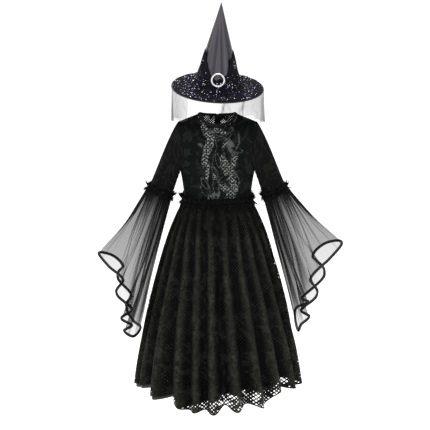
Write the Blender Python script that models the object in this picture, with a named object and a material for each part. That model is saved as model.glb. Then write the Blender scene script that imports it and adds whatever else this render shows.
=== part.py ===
"""A child's witch costume: a long lace dress, filled out as it is worn, and its pointed hat.

Metres, +Z up, the front towards -Y and the wearer's left towards +X. The origin is level with
the top of the neckband, midway between the shoulders. A drop is a distance below that level.

Cloth is a wall between two skins, on a grid of points. A grid's rows run down the piece and
its columns run anticlockwise seen from above, so that the outer skin faces out.
"""

import math
from collections import namedtuple

import bmesh
import bpy
import numpy as np
from mathutils import Euler, Matrix, Vector

# Cloth thicknesses
LACE = 0.0011
LINING = 0.0010
TULLE = 0.0010
NECKBAND = 0.0018
BINDING = 0.0022
ZIP_TAPE = 0.0009

# Gaps between neighbouring pieces
SEAM = 0.0003
ARMHOLE_GAP = 0.0012
BINDING_GAP = 0.0015

# Bodice
SHOULDER_HALF = 0.1375
SHOULDER_DROP = 0.034
SHOULDER_ROLL = 0.045
NECK_HALF = SHOULDER_HALF / 2
NECK_SIDE_DROP = 0.0065
NECK_FRONT_DROP = 0.0435
NECK_BACK_DROP = 0.0225
NECK_FRONT_DEPTH = 0.062
NECK_BACK_DEPTH = 0.055
NECK_BLEND = 0.27
WAIST_DROP = 0.306
BODY_SQUARENESS = 2.4
NECK_COLUMNS = 5
SHOULDER_COLUMNS = 4
LINING_INSET = 0.0026
LINING_ARMHOLE_INSET = 0.003
LINING_NECK_INSET = 0.0032
BACK_LINING_FIRST_ROW = 5

# Neckband
BAND_TOP_HALF = 0.0605
BAND_TOP_FRONT_DEPTH = 0.057
BAND_TOP_BACK_DEPTH = 0.049
BAND_TOP_FRONT_DROP = 0.033
BAND_TOP_BACK_DROP = 0.012

# Zip
ZIP_HALF = 0.0045
TAPE_HALF = 0.011
LINING_ZIP_HALF = 0.0125
SLIDER_DROP = 0.0215
SLIDER_WIDTH = 0.0070
SLIDER_LENGTH = 0.0090
SLIDER_THICKNESS = 0.0014
BRIDGE_WIDTH = 0.0012
BRIDGE_LENGTH = 0.0070
BRIDGE_BAR = 0.0010
PULL_WIDTH = 0.0050
PULL_LENGTH = 0.0240
PULL_THICKNESS = 0.0010
PULL_WINDOW_WIDTH = 0.0028
PULL_WINDOW_LENGTH = 0.0042
PULL_CLEARANCE = 0.0005

# Sleeves: the elbow ring is an oval across the arm
ELBOW_OUT = 0.1995
ELBOW_DROP = 0.278
ELBOW_REACH_OUT = 0.0395
ELBOW_REACH_UP = 0.0160
ELBOW_DEPTH = 0.0370
ARM_AXIS = Vector((0.369, 0.0, 0.929))
SLEEVE_ROWS = (0.0, 0.12, 0.30, 0.52, 0.76, 1.0)
SLEEVE_CAP_BULGE = 0.005

# Flounces
FLOUNCE_COLUMNS_PER_FOLD = 3
FLOUNCE_ROWS = (0.0, 0.14, 0.34, 0.64)
FLOUNCE_GATHER = 0.0022
FLOUNCE_GATHER_END = 0.70
FLOUNCE_FOLD_START = 0.38
FLOUNCE_FOLD_SPAN = 0.56
FLOUNCE_FOLD_BLEND = 4
FLOUNCE_BINDING = 0.009
LEAST_SQUARE_SHARE = 0.4

# Frilled trims: rows at this distance down the cloth and out from it, and the size of the frill
TRIM = 0.0010
TRIM_UNEVEN = 0.35
WAIST_TRIM_WAVES = 36
ELBOW_TRIM_WAVES = 18
FrillRow = namedtuple("FrillRow", "along out frill")
WAIST_TRIM_ROWS = (
    FrillRow(-0.0105, 0.0070, 0.0026),
    FrillRow(0.0000, 0.0045, 0.0003),
    FrillRow(0.0145, 0.0185, 0.0030),
)
ELBOW_TRIM_ROWS = (
    FrillRow(-0.0120, 0.0085, 0.0028),
    FrillRow(0.0000, 0.0046, 0.0004),
    FrillRow(0.0140, 0.0125, 0.0036),
)

# Skirt
SKIRT_GATHERS = 28
COLUMNS_PER_GATHER = 3
GATHER_AT_SEAM = 0.0020
GATHER_GROWTH = 0.0022
GATHER_END = 0.45
HEM_WAVE_LIFT = 0.003
SKIRT_ROWS = (0.306, 0.328, 0.360, 0.43, 0.55, 0.74, 0.945, 0.972)
SKIRT_SLIT_DROP = 0.365
SIDE_SEAM_REACH = 0.010
HEM_DROP = 1.0
HEM_GAP_ROW = 6
HEM_GAP_SHARE = 0.56
SKIRT_LINING_COLUMNS = 40
SKIRT_LINING_ROWS = (0.306, 0.36, 0.46, 0.62, 0.80)
LINING_WAIST_INSET = 0.0034
LINING_SKIRT_INSET = 0.0062
LINING_HEM_INSET = 0.0247
LINING_HEM_RISE = 0.024
LINING_WAVE_SHARE = 0.22
ZIP_FLAT_ANGLE = math.radians(14)

# Hat: the brim lies forward and a little to the wearer's left
HAT_PLACE = Vector((0.0, 0.0, 0.0905))
HAT_FORWARD_TILT = math.radians(12.5)
HAT_SIDE_TILT = math.radians(2.5)
HAT_COLUMNS = 28
CROWN_HEIGHT = 0.297
CROWN_HALF_WIDTH = 0.080
CROWN_HALF_DEPTH = 0.0925
CROWN_WALL = 0.0014
CROWN_ROWS = (0.286, 0.19, 0.10, 0.04, 0.0010)
HEAD_HALF_WIDTH = 0.0765
HEAD_HALF_DEPTH = 0.0890
BRIM_RADIUS = 0.1600
BRIM_WALL = 0.0020
BRIM_DROOP = 0.004
BRIM_MIDDLE = 0.5
BRIM_BINDING_WIDTH = 0.0057
BRIM_BINDING_GAP = 0.0005
BRIM_BINDING = 0.0034
NET_FRONT_TOP = 0.046
NET_SIDE_TOP = 0.125
NET_OPEN_ANGLE = math.radians(75)
NET_MIDDLE = 0.55
NET_FOOT = 0.010
NET_BRIM_SHARES = (0.20, 0.60)
NET_STANDOFF = 0.0024
NET_BRIM_STANDOFF = 0.0017
NET_FOLD = 0.0010
VEIL_COLUMNS = 36
VEIL_ROWS = (0.0, 0.25, 0.6, 1.0)
VEIL_BRIM_SHARE = 0.975
VEIL_FRONT_ANGLE = math.radians(38)
VEIL_HEM_HEIGHT = -0.030
VEIL_FRONT_HEM_RISE = 0.030
VEIL_HEM_SWAY = 0.004
VEIL_SWAY_TURNS = 3.1
VEIL_FOLD_TOP = 0.0020
VEIL_FOLD_HEM = 0.0060
BUCKLE_HEIGHT = 0.047
BUCKLE_RADIUS = 0.0210
BUCKLE_BAND = 0.0060
BUCKLE_THICKNESS = 0.0034
BUCKLE_STANDOFF = 0.0039

# The wearer's left is +X
SIDES = (("left", 1), ("right", -1))

Section = namedtuple("Section", "drop half_width front back")
BODY = (
    Section(0.000, 0.1500, 0.052, 0.048),
    Section(0.035, 0.1500, 0.059, 0.056),
    Section(0.075, 0.1475, 0.069, 0.068),
    Section(0.125, 0.1420, 0.079, 0.078),
    Section(0.196, 0.1305, 0.088, 0.080),
    Section(0.240, 0.1225, 0.087, 0.077),
    Section(0.281, 0.1175, 0.084, 0.0745),
    Section(0.306, 0.1170, 0.084, 0.0745),
)
SKIRT = (
    Section(0.306, 0.1170, 0.084, 0.0745),
    Section(0.330, 0.1290, 0.096, 0.088),
    Section(0.360, 0.1420, 0.109, 0.102),
    Section(0.400, 0.1585, 0.125, 0.119),
    Section(0.450, 0.1755, 0.143, 0.138),
    Section(0.530, 0.1990, 0.168, 0.164),
    Section(0.620, 0.2215, 0.194, 0.191),
    Section(0.720, 0.2440, 0.219, 0.217),
    Section(0.830, 0.2650, 0.242, 0.241),
    Section(0.920, 0.2790, 0.257, 0.257),
    Section(1.010, 0.2890, 0.268, 0.268),
)

Armhole = namedtuple("Armhole", "fraction half_width")
ARMHOLE = (
    Armhole(0.000, 0.1375),
    Armhole(0.020, 0.1365),
    Armhole(0.060, 0.1325),
    Armhole(0.120, 0.1265),
    Armhole(0.190, 0.1210),
    Armhole(0.270, 0.1170),
    Armhole(0.360, 0.1155),
    Armhole(0.450, 0.1180),
    Armhole(0.530, 0.1235),
    Armhole(0.575, 0.1275),
    Armhole(0.600, 0.1303),
)
SIDE_SEAM_FRACTIONS = (0.70, 0.80, 0.90, 1.0)
BODICE_FRACTIONS = tuple(row.fraction for row in ARMHOLE) + SIDE_SEAM_FRACTIONS

# Hem waves of the skirt: where each one stands out, how far, and how much lower it hangs
HemWave = namedtuple("HemWave", "angle reach low")
HEM_WAVES = (
    HemWave(-173, 0.016, 0.003),
    HemWave(-150, 0.018, 0.002),
    HemWave(-127, 0.015, 0.004),
    HemWave(-103, 0.017, 0.001),
    HemWave(-78, 0.015, -0.001),
    HemWave(-50, 0.022, 0.002),
    HemWave(-26, 0.017, 0.006),
    HemWave(-5, 0.015, 0.004),
    HemWave(12, 0.018, 0.005),
    HemWave(33, 0.020, 0.001),
    HemWave(58, 0.018, -0.010),
    HemWave(84, 0.020, -0.014),
    HemWave(108, 0.016, -0.006),
    HemWave(131, 0.018, 0.002),
    HemWave(155, 0.015, 0.004),
)

# Hem folds of the flounces, from the outer tip round the front to the low inner end and back
HemFold = namedtuple("HemFold", "out forward drop")
FLOUNCE_HEM = {
    "right": (
        HemFold(0.4206, 0.000, 0.5034),
        HemFold(0.3880, 0.039, 0.5442),
        HemFold(0.3403, 0.048, 0.5890),
        HemFold(0.3551, 0.069, 0.6341),
        HemFold(0.3065, 0.073, 0.6849),
        HemFold(0.3206, 0.102, 0.7244),
        HemFold(0.3106, 0.104, 0.7421),
        HemFold(0.3257, 0.136, 0.7487),
        HemFold(0.2995, 0.121, 0.7741),
        HemFold(0.2732, 0.001, 0.7764),
        HemFold(0.3048, -0.121, 0.7932),
        HemFold(0.3203, -0.118, 0.7450),
        HemFold(0.3190, -0.100, 0.6824),
        HemFold(0.3436, -0.064, 0.6069),
        HemFold(0.3413, -0.046, 0.5655),
        HemFold(0.3637, -0.054, 0.5246),
    ),
    "left": (
        HemFold(0.4395, 0.000, 0.4726),
        HemFold(0.3905, 0.029, 0.5096),
        HemFold(0.3284, 0.062, 0.5846),
        HemFold(0.3307, 0.074, 0.6403),
        HemFold(0.2980, 0.082, 0.6860),
        HemFold(0.3049, 0.104, 0.7127),
        HemFold(0.2835, 0.116, 0.7327),
        HemFold(0.2917, 0.074, 0.7627),
        HemFold(0.2835, -0.067, 0.7715),
        HemFold(0.2857, -0.117, 0.7376),
        HemFold(0.3180, -0.113, 0.7131),
        HemFold(0.3165, -0.083, 0.6887),
        HemFold(0.3894, -0.081, 0.6041),
        HemFold(0.3347, -0.044, 0.5274),
        HemFold(0.3662, -0.043, 0.4846),
        HemFold(0.4333, -0.023, 0.4623),
    ),
}
FLOUNCE_LOW_FOLD = {"right": 9, "left": 7.5}

# Cells of the lace cut through, as (row, column) of the bodice front's grid
BODICE_FRONT_GAPS = (
    (2, 8), (3, 10), (4, 8), (5, 7), (5, 10), (6, 8), (6, 11), (7, 7),
    (8, 10), (10, 10), (10, 7), (11, 8), (11, 11), (12, 10), (13, 9), (13, 7),
)


def clear_scene():
    for item in list(bpy.data.objects):
        bpy.data.objects.remove(item)


def finish(name, colour, roughness, metallic=0.0):
    """A plain material of this colour."""
    material = bpy.data.materials.new(name)
    material.use_nodes = True
    shader = material.node_tree.nodes["Principled BSDF"]
    shader.inputs["Base Color"].default_value = (*colour, 1.0)
    shader.inputs["Roughness"].default_value = roughness
    shader.inputs["Metallic"].default_value = metallic
    return material


def smooth(table, column, drop):
    """A column of a table of sections at this drop, on a smooth curve through its rows."""
    drops = np.array([row.drop for row in table])
    values = np.array([getattr(row, column) for row in table])
    slopes = np.gradient(values, drops)
    drop = min(max(drop, drops[0]), drops[-1])
    row = min(int(np.searchsorted(drops, drop, side="right")) - 1, len(drops) - 2)
    step = drops[row + 1] - drops[row]
    t = (drop - drops[row]) / step
    start = values[row] * (1 + 2 * t) * (1 - t) ** 2 + slopes[row] * step * t * (1 - t) ** 2
    end = values[row + 1] * t * t * (3 - 2 * t) - slopes[row + 1] * step * t * t * (1 - t)
    return start + end


def ease(t):
    """From 0 to 1 with level ends."""
    t = min(max(t, 0.0), 1.0)
    return t * t * (3 - 2 * t)


def facing(grid, ring):
    """Unit normals of a grid, on the outer side, level where the grid meets the side plane."""
    if ring:
        across = np.roll(grid, -1, axis=1) - np.roll(grid, 1, axis=1)
        normal = np.cross(np.gradient(grid, axis=0), across)
    else:
        across = np.gradient(grid, axis=1)
        on_side_plane = np.abs(grid[:, :, 1]) < SEAM
        for edge in (0, -1):
            backward = math.copysign(1.0, grid[0, edge, 0])
            across[on_side_plane[:, edge], edge] = (0.0, backward, 0.0)
        normal = np.cross(np.gradient(grid, axis=0), across)
        normal[on_side_plane, 1] = 0.0
    return normal / np.linalg.norm(normal, axis=2, keepdims=True)


def moved_out(grid, distance, ring=False):
    return grid + facing(grid, ring) * distance


def add_piece(name, points, faces, material):
    mesh = bpy.data.meshes.new(name)
    mesh.from_pydata([tuple(point) for point in points], [], faces)
    mesh.materials.append(material)
    mesh.shade_smooth()
    mesh.set_sharp_from_angle(angle=math.radians(50))
    piece = bpy.data.objects.new(name, mesh)
    bpy.context.scene.collection.objects.link(piece)
    return piece


def two_triangles(a, b, c, d):
    return [(a, b, c), (a, c, d)]


def wall(name, grid, thickness, material, ring=False, gaps=(), gap_share=0.5, tip=None):
    """A cloth wall on a grid. Cells named in gaps are cut through, and a tip closes the top row."""
    grid = np.array(grid, dtype=float)
    rows, columns = grid.shape[:2]
    half = facing(grid, ring) * thickness / 2
    skins = (grid + half, grid - half)
    points = np.concatenate([skin.reshape(-1, 3) for skin in skins]).tolist()
    count = rows * columns
    faces = []

    def outer(j, i):
        return j * columns + i % columns

    def inner(j, i):
        return count + outer(j, i)

    for j in range(rows - 1):
        for i in range(columns if ring else columns - 1):
            corners = ((j, i), (j + 1, i), (j + 1, i + 1), (j, i + 1))
            around = [outer(*corner) for corner in corners]
            within = [inner(*corner) for corner in corners]
            if (j, i) not in gaps:
                faces += two_triangles(*around)
                faces += [face[::-1] for face in two_triangles(*within)]
                continue
            edges = []
            for loop in (around, within):
                middle = np.mean([points[k] for k in loop], axis=0)
                edges.append(list(range(len(points), len(points) + 4)))
                points += [
                    (middle + gap_share * (np.array(points[k]) - middle)).tolist() for k in loop
                ]
            rim, under = edges
            for k in range(4):
                n = (k + 1) % 4
                faces += two_triangles(around[k], around[n], rim[n], rim[k])
                faces += two_triangles(within[n], within[k], under[k], under[n])
                faces += two_triangles(rim[k], rim[n], under[n], under[k])
    last = rows - 1
    for i in range(columns if ring else columns - 1):
        if tip is None:
            faces += two_triangles(outer(0, i), outer(0, i + 1), inner(0, i + 1), inner(0, i))
        faces += two_triangles(
            outer(last, i + 1), outer(last, i), inner(last, i), inner(last, i + 1)
        )
    if tip is not None:
        points += [tuple(tip), np.mean([points[inner(0, i)] for i in range(columns)], axis=0).tolist()]
        for i in range(columns):
            faces.append((len(points) - 2, outer(0, i), outer(0, i + 1)))
            faces.append((len(points) - 1, inner(0, i + 1), inner(0, i)))
    if not ring:
        for j in range(rows - 1):
            faces += two_triangles(outer(j + 1, 0), outer(j, 0), inner(j, 0), inner(j + 1, 0))
            end = columns - 1
            faces += two_triangles(
                outer(j, end), outer(j + 1, end), inner(j + 1, end), inner(j, end)
            )
    return add_piece(name, points, faces, material)


def shoulder_line(x):
    """The drop of the shoulder seam, run on up the neck inside the neckline."""
    slope = (SHOULDER_DROP - NECK_SIDE_DROP) / (SHOULDER_HALF - NECK_HALF)
    beyond = abs(x) - NECK_HALF
    return NECK_SIDE_DROP + (slope if beyond > 0 else 3 * slope) * beyond


def body_depth(x, drop, side):
    """How far the figure stands out from the side plane, to the front or the back."""
    half_width = smooth(BODY, "half_width", drop)
    narrowing = max(1 - (abs(x) / half_width) ** BODY_SQUARENESS, 0.0) ** (1 / BODY_SQUARENESS)
    roll = min(max((drop - shoulder_line(x)) / SHOULDER_ROLL, 0.0), 1.0)
    return smooth(BODY, side, drop) * narrowing * math.sqrt(1 - (1 - roll) ** 2)


def panel_edge(fraction):
    """Half the width of a bodice panel: its armhole, and below that its side seam."""
    if fraction <= ARMHOLE[-1].fraction:
        fractions = [row.fraction for row in ARMHOLE]
        return float(np.interp(fraction, fractions, [row.half_width for row in ARMHOLE]))
    drop = SHOULDER_DROP + fraction * (WAIST_DROP - SHOULDER_DROP)
    return smooth(BODY, "half_width", drop)


def neckline(share, side):
    """(depth, drop) of the neckline where x is this share of its half width."""
    across = math.sqrt(max(1 - share * share, 0.0))
    depth, low = {
        "front": (NECK_FRONT_DEPTH, NECK_FRONT_DROP),
        "back": (NECK_BACK_DEPTH, NECK_BACK_DROP),
    }[side]
    return depth * across, NECK_SIDE_DROP + (low - NECK_SIDE_DROP) * across


def bodice_point(across, fraction, side, edge_inset=0.0, centre_half=0.0):
    """A point of the front or the back, at this share of its width and its height."""
    forward = -1.0 if side == "front" else 1.0
    edge = panel_edge(fraction)
    if fraction < ARMHOLE[-1].fraction:
        edge -= edge_inset
    x = math.copysign(max(abs(across) * edge, centre_half), across)
    neck_share = abs(across) * SHOULDER_HALF / NECK_HALF
    if neck_share < 1:
        top_depth, top_drop = neckline(neck_share, side)
    else:
        top_depth, top_drop = 0.0, shoulder_line(across * SHOULDER_HALF)
    waist = WAIST_DROP - SEAM / 2
    drop = top_drop + fraction * (waist - top_drop)
    depth = body_depth(x, drop, side)
    near_top = max(1 - fraction / NECK_BLEND, 0.0) ** 2
    depth += near_top * (top_depth - depth)
    return x, forward * max(depth, SEAM * 0.7), -drop


def panel_shares():
    """The columns of half a bodice panel, from the centre to the edge, closer at the edge."""
    shares = [0.5 * k / NECK_COLUMNS for k in range(NECK_COLUMNS + 1)]
    for k in range(1, SHOULDER_COLUMNS + 1):
        shares.append(0.5 + 0.5 * math.sin(math.pi / 2 * k / SHOULDER_COLUMNS))
    return shares


def bodice_grid(side, half=0, every=1, first_row=0, edge_inset=0.0, centre_half=ZIP_HALF):
    """The front's grid, or with half = 1 or -1 the grid of the back's left or right half."""
    shares = panel_shares()
    shares = shares[:NECK_COLUMNS:every] + shares[NECK_COLUMNS::every]
    if side == "front":
        columns = [-share for share in shares[:0:-1]] + shares
        centre_half = 0.0
    else:
        columns = [share * half for share in (shares[::-1] if half > 0 else shares)]
        columns = [half * 1e-9 if share == 0 else share for share in columns]
    return np.array(
        [
            [bodice_point(share, fraction, side, edge_inset, centre_half) for share in columns]
            for fraction in BODICE_FRACTIONS[first_row:]
        ]
    )


def build_bodice(lace, satin):
    wall("bodice_front", bodice_grid("front"), LACE, lace, gaps=BODICE_FRONT_GAPS)
    lining = bodice_grid("front", 0, 2, 0, LINING_ARMHOLE_INSET)
    lining = moved_out(lining, -LINING_INSET)
    lining[0, :, 2] -= LINING_NECK_INSET
    wall("bodice_front_lining", lining, LINING, satin)
    for name, half in SIDES:
        wall(f"bodice_back_{name}", bodice_grid("back", half), LACE, lace)
        lining = bodice_grid(
            "back", half, 2, BACK_LINING_FIRST_ROW, LINING_ARMHOLE_INSET, LINING_ZIP_HALF
        )
        wall(f"bodice_back_lining_{name}", moved_out(lining, -LINING_INSET), LINING, satin)


def neckband_grid():
    """Round the neck from the zip's right edge to its left, standing on the neckline."""
    shares = [k / NECK_COLUMNS for k in range(NECK_COLUMNS + 1)]
    start = ZIP_HALF / NECK_HALF
    back = [start] + shares[1:]
    stations = [("back", -share) for share in back]
    stations += [("front", -share) for share in shares[-2::-1]]
    stations += [("front", share) for share in shares[1:]]
    stations += [("back", share) for share in back[-2::-1]]
    top, bottom = [], []
    for side, share in stations:
        forward = -1.0 if side == "front" else 1.0
        across = math.sqrt(1 - share * share)
        depth, drop = neckline(share, side)
        bottom.append((share * NECK_HALF, forward * depth, -drop + NECKBAND * 0.3))
        top_depth, low = {
            "front": (BAND_TOP_FRONT_DEPTH, BAND_TOP_FRONT_DROP),
            "back": (BAND_TOP_BACK_DEPTH, BAND_TOP_BACK_DROP),
        }[side]
        x = share * BAND_TOP_HALF
        if side == "back":
            x = math.copysign(max(abs(x), ZIP_HALF), share)
        top.append((x, forward * top_depth * across, -low * across))
    return np.array([top, bottom])


def back_line(drop):
    """How far back the zip's tape stands, where the lace's edges lie on it."""
    if drop < WAIST_DROP:
        fraction = max((drop - NECK_BACK_DROP) / (WAIST_DROP - NECK_BACK_DROP), 0.0)
        return bodice_point(TAPE_HALF / panel_edge(fraction), fraction, "back")[1]
    return smooth(SKIRT, "back", drop) - SEAM


def build_zip(tape_material, metal):
    """Tape under the lace at the centre back, with the slider at its top and the pull hung on it."""
    inset = NECKBAND / 2 + SEAM + ZIP_TAPE / 2
    drops = [NECK_BACK_DROP + f * (WAIST_DROP - NECK_BACK_DROP) for f in BODICE_FRACTIONS[:-1]]
    drops += [drop for drop in SKIRT_ROWS if drop < SKIRT_SLIT_DROP]
    profile = [(BAND_TOP_BACK_DEPTH - NECKBAND, BAND_TOP_BACK_DROP + SEAM)]
    profile += [(back_line(drop), drop) for drop in drops]
    grid = np.array([[(x, y, -drop) for x in (TAPE_HALF, -TAPE_HALF)] for y, drop in profile])
    tape = moved_out(grid, -inset)
    wall("zip_tape", tape, ZIP_TAPE, tape_material)

    # The slider and its pull lie along the tape
    start = Vector((0.0, back_line(SLIDER_DROP) - inset, -SLIDER_DROP))
    end_drop = SLIDER_DROP + PULL_LENGTH
    end = Vector((0.0, back_line(end_drop) - inset, -end_drop))
    along = (end - start).normalized()
    out = along.cross(Vector((-1.0, 0.0, 0.0))).normalized()
    frame = Matrix((Vector((-1.0, 0.0, 0.0)), out, -along)).transposed().to_4x4()
    lift = ZIP_TAPE / 2 + PULL_CLEARANCE
    base = start + out * lift

    slider = box("zip_slider", (SLIDER_WIDTH, SLIDER_THICKNESS, SLIDER_LENGTH), metal)
    slider.matrix_world = Matrix.Translation(base + out * SLIDER_THICKNESS / 2) @ frame
    room = PULL_THICKNESS + 2 * PULL_CLEARANCE
    tunnel_middle = SLIDER_THICKNESS / 2 + room / 2
    arch = box(
        "bridge", (BRIDGE_WIDTH, room + 2 * BRIDGE_BAR, BRIDGE_LENGTH), metal, guide=True
    )
    arch.parent = slider
    arch.location = (0.0, tunnel_middle, 0.0)
    tunnel = box(
        "tunnel", (2 * BRIDGE_WIDTH, room, BRIDGE_LENGTH - 2 * BRIDGE_BAR), metal, guide=True
    )
    tunnel.parent = slider
    tunnel.location = (0.0, tunnel_middle, 0.0)
    join(slider, arch, "UNION")
    join(slider, tunnel, "DIFFERENCE")

    # The pull's origin is on its hinge, in the crossbar under the bridge
    pull = box("zip_pull", (PULL_WIDTH, PULL_THICKNESS, PULL_LENGTH), metal)
    hinge = base + out * (SLIDER_THICKNESS + room / 2)
    for vertex in pull.data.vertices:
        vertex.co.z -= PULL_LENGTH / 2 - PULL_THICKNESS / 2
    pull.matrix_world = Matrix.Translation(hinge) @ frame
    window = box(
        "window", (PULL_WINDOW_WIDTH, 4 * PULL_THICKNESS, PULL_WINDOW_LENGTH), metal, guide=True
    )
    window.parent = pull
    window.location = (0.0, 0.0, -PULL_THICKNESS / 2 - PULL_WINDOW_LENGTH / 2)
    join(pull, window, "DIFFERENCE")


def box(name, size, material, guide=False):
    mesh = bpy.data.meshes.new(name)
    solid = bmesh.new()
    bmesh.ops.create_cube(solid, size=1.0)
    bmesh.ops.scale(solid, vec=size, verts=solid.verts)
    solid.to_mesh(mesh)
    solid.free()
    mesh.materials.append(material)
    piece = bpy.data.objects.new(name, mesh)
    bpy.context.scene.collection.objects.link(piece)
    piece.hide_render = guide
    if guide:
        piece.display_type = "WIRE"
    return piece


def join(piece, other, operation):
    modifier = piece.modifiers.new(operation.lower(), "BOOLEAN")
    modifier.operation = operation
    modifier.object = other


def arm_point(side, out, forward, drop):
    return side * out, -forward, -drop


def elbow_point(turn, grow=0.0, along=0.0):
    """(out, forward, drop) on the elbow ring, from its outer side round the front."""
    reach = math.hypot(ELBOW_REACH_OUT, ELBOW_REACH_UP)
    stretch = 1 + grow / reach
    out = ELBOW_OUT + math.cos(turn) * ELBOW_REACH_OUT * stretch + ARM_AXIS.x * along
    drop = ELBOW_DROP - math.cos(turn) * ELBOW_REACH_UP * stretch + ARM_AXIS.z * along
    return out, math.sin(turn) * (ELBOW_DEPTH + grow), drop


def sleeve_grid(side):
    """Set into the armhole, and drawn straight down to the elbow ring."""
    fractions = [row.fraction for row in ARMHOLE]
    reach = fractions[-1]
    ring = [("front", fraction) for fraction in fractions]
    ring += [("back", fraction) for fraction in fractions[-2:0:-1]]
    grid = []
    for s in SLEEVE_ROWS:
        row = []
        for half, fraction in ring:
            x, y, z = bodice_point(1.0, fraction, half)
            if fraction in (0.0, reach):
                y = 0.0
            turn = math.pi * fraction / reach
            if half == "back":
                turn = -turn
            out, forward, drop = elbow_point(turn)
            bulge = SLEEVE_CAP_BULGE * math.sin(math.pi * math.sqrt(s)) * max(math.cos(turn), 0.0)
            start = (x + ARMHOLE_GAP, -y, -z)
            end = (out, forward, drop)
            point = [a + s * (b - a) for a, b in zip(start, end)]
            row.append(arm_point(side, point[0] + bulge, point[1], point[2] - bulge * 0.4))
        grid.append(row if side < 0 else row[:1] + row[:0:-1])
    return np.array(grid)


def hem_curve(side_name):
    """Points on a smooth closed curve through the flounce's hem folds."""
    folds = [Vector(fold) for fold in FLOUNCE_HEM[side_name]]
    count = len(folds)
    points = []
    for k in range(count):
        before, here, after, beyond = (folds[(k + step) % count] for step in (-1, 0, 1, 2))
        for step in range(FLOUNCE_COLUMNS_PER_FOLD):
            t = step / FLOUNCE_COLUMNS_PER_FOLD
            points.append(
                0.5
                * (
                    2 * here
                    + (after - before) * t
                    + (2 * before - 5 * here + 4 * after - beyond) * t * t
                    + (3 * here - before - 3 * after + beyond) * t * t * t
                )
            )
    return points


def flounce_grids(side_name, side):
    """The flounce's grid, gathered on to the elbow ring, and the grid of its bound hem."""
    hem = hem_curve(side_name)
    count = len(hem)
    low = FLOUNCE_LOW_FOLD[side_name] * FLOUNCE_COLUMNS_PER_FOLD
    columns, bound = [], []
    for k, point in enumerate(hem):
        if k <= low:
            turn = math.pi * k / low
        else:
            turn = math.pi * (1 + (k - low) / (count - low))
        top = Vector(elbow_point(turn, along=2 * SEAM))
        gather = FLOUNCE_GATHER * (1 if k % 2 else -1)
        # Where the hem runs slantwise to the cloth, its width is measured square to it
        fall = point - top
        hem_run = (hem[(k + 1) % count] - hem[k - 1]).normalized()
        square_share = max(hem_run.cross(fall.normalized()).length, LEAST_SQUARE_SHARE)
        square = fall.length * square_share
        bind_start = 1 - FLOUNCE_BINDING / square
        column = []
        # The folds of the hem fade out up the cloth, and its gathers fade out down it
        reach = range(-FLOUNCE_FOLD_BLEND, FLOUNCE_FOLD_BLEND + 1)
        nearby = [hem[(k + step) % count] for step in reach]
        unfolded = sum(nearby, Vector()) / len(nearby)
        swell = Vector((math.cos(turn) * ARM_AXIS.z, math.sin(turn), -math.cos(turn) * ARM_AXIS.x))
        for s in (*FLOUNCE_ROWS, bind_start):
            end = unfolded.lerp(point, ease((s - FLOUNCE_FOLD_START) / FLOUNCE_FOLD_SPAN))
            gathered = gather * max(1 - s / FLOUNCE_GATHER_END, 0.0) ** 1.5
            column.append(arm_point(side, *(top.lerp(end, s) + swell * gathered)))
        columns.append(column)
        edges = (bind_start + BINDING_GAP / square, 1.0)
        bound.append([arm_point(side, *top.lerp(point, s)) for s in edges])
    if side > 0:
        columns, bound = columns[::-1], bound[::-1]
    return np.array(columns).transpose(1, 0, 2), np.array(bound).transpose(1, 0, 2)


def unevenness(k):
    """A steady but uneven share near 1, so that no two frills are alike."""
    return 1 + TRIM_UNEVEN * math.sin(2.4 * k) * math.cos(0.9 * k)


def elbow_trim_grid(side):
    """A strip gathered along its middle over the elbow seam, both its edges frilled."""
    count = 2 * ELBOW_TRIM_WAVES
    rows = []
    for trim_row in ELBOW_TRIM_ROWS:
        row = []
        for k in range(count):
            turn = 2 * math.pi * k / count
            out = trim_row.out + trim_row.frill * unevenness(k) * (1 if k % 2 else -1)
            along = trim_row.along * unevenness(k + 5)
            row.append(arm_point(side, *elbow_point(turn, out, along)))
        rows.append(row if side < 0 else row[::-1])
    return np.array(rows)


def build_sleeves(lace, tulle, binding, trim):
    for name, side in SIDES:
        wall(f"sleeve_{name}", sleeve_grid(side), LACE, lace, ring=True)
        flounce, bound = flounce_grids(name, side)
        wall(f"flounce_{name}", flounce, TULLE, tulle, ring=True)
        wall(f"flounce_binding_{name}", bound, BINDING, binding, ring=True)
        wall(f"elbow_trim_{name}", elbow_trim_grid(side), TRIM, trim, ring=True)


def around(angle, half_width, depth, squareness):
    """(x, y) on an oval at this angle from the front, towards the wearer's left."""
    power = 2 / squareness
    x = math.copysign(abs(math.sin(angle)) ** power, math.sin(angle)) * half_width
    y = -math.copysign(abs(math.cos(angle)) ** power, math.cos(angle)) * depth
    return x, y


def hem_wave(angle):
    """(reach, low) of the hem's waves at this angle, from their table."""
    degrees = (math.degrees(angle) + 180) % 360 - 180
    waves = sorted(HEM_WAVES)
    first, last = waves[0], waves[-1]
    before_first = HemWave(last.angle - 360, last.reach, last.low)
    after_last = HemWave(first.angle + 360, first.reach, first.low)
    waves = [before_first, *waves, after_last]
    for here, after in zip(waves, waves[1:]):
        if here.angle <= degrees <= after.angle:
            t = (degrees - here.angle) / (after.angle - here.angle)
            level = math.cos(2 * math.pi * t)
            reach = here.reach + t * (after.reach - here.reach)
            low = here.low + ease(t) * (after.low - here.low)
            return reach * level, low + HEM_WAVE_LIFT * level
    return 0.0, 0.0


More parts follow.
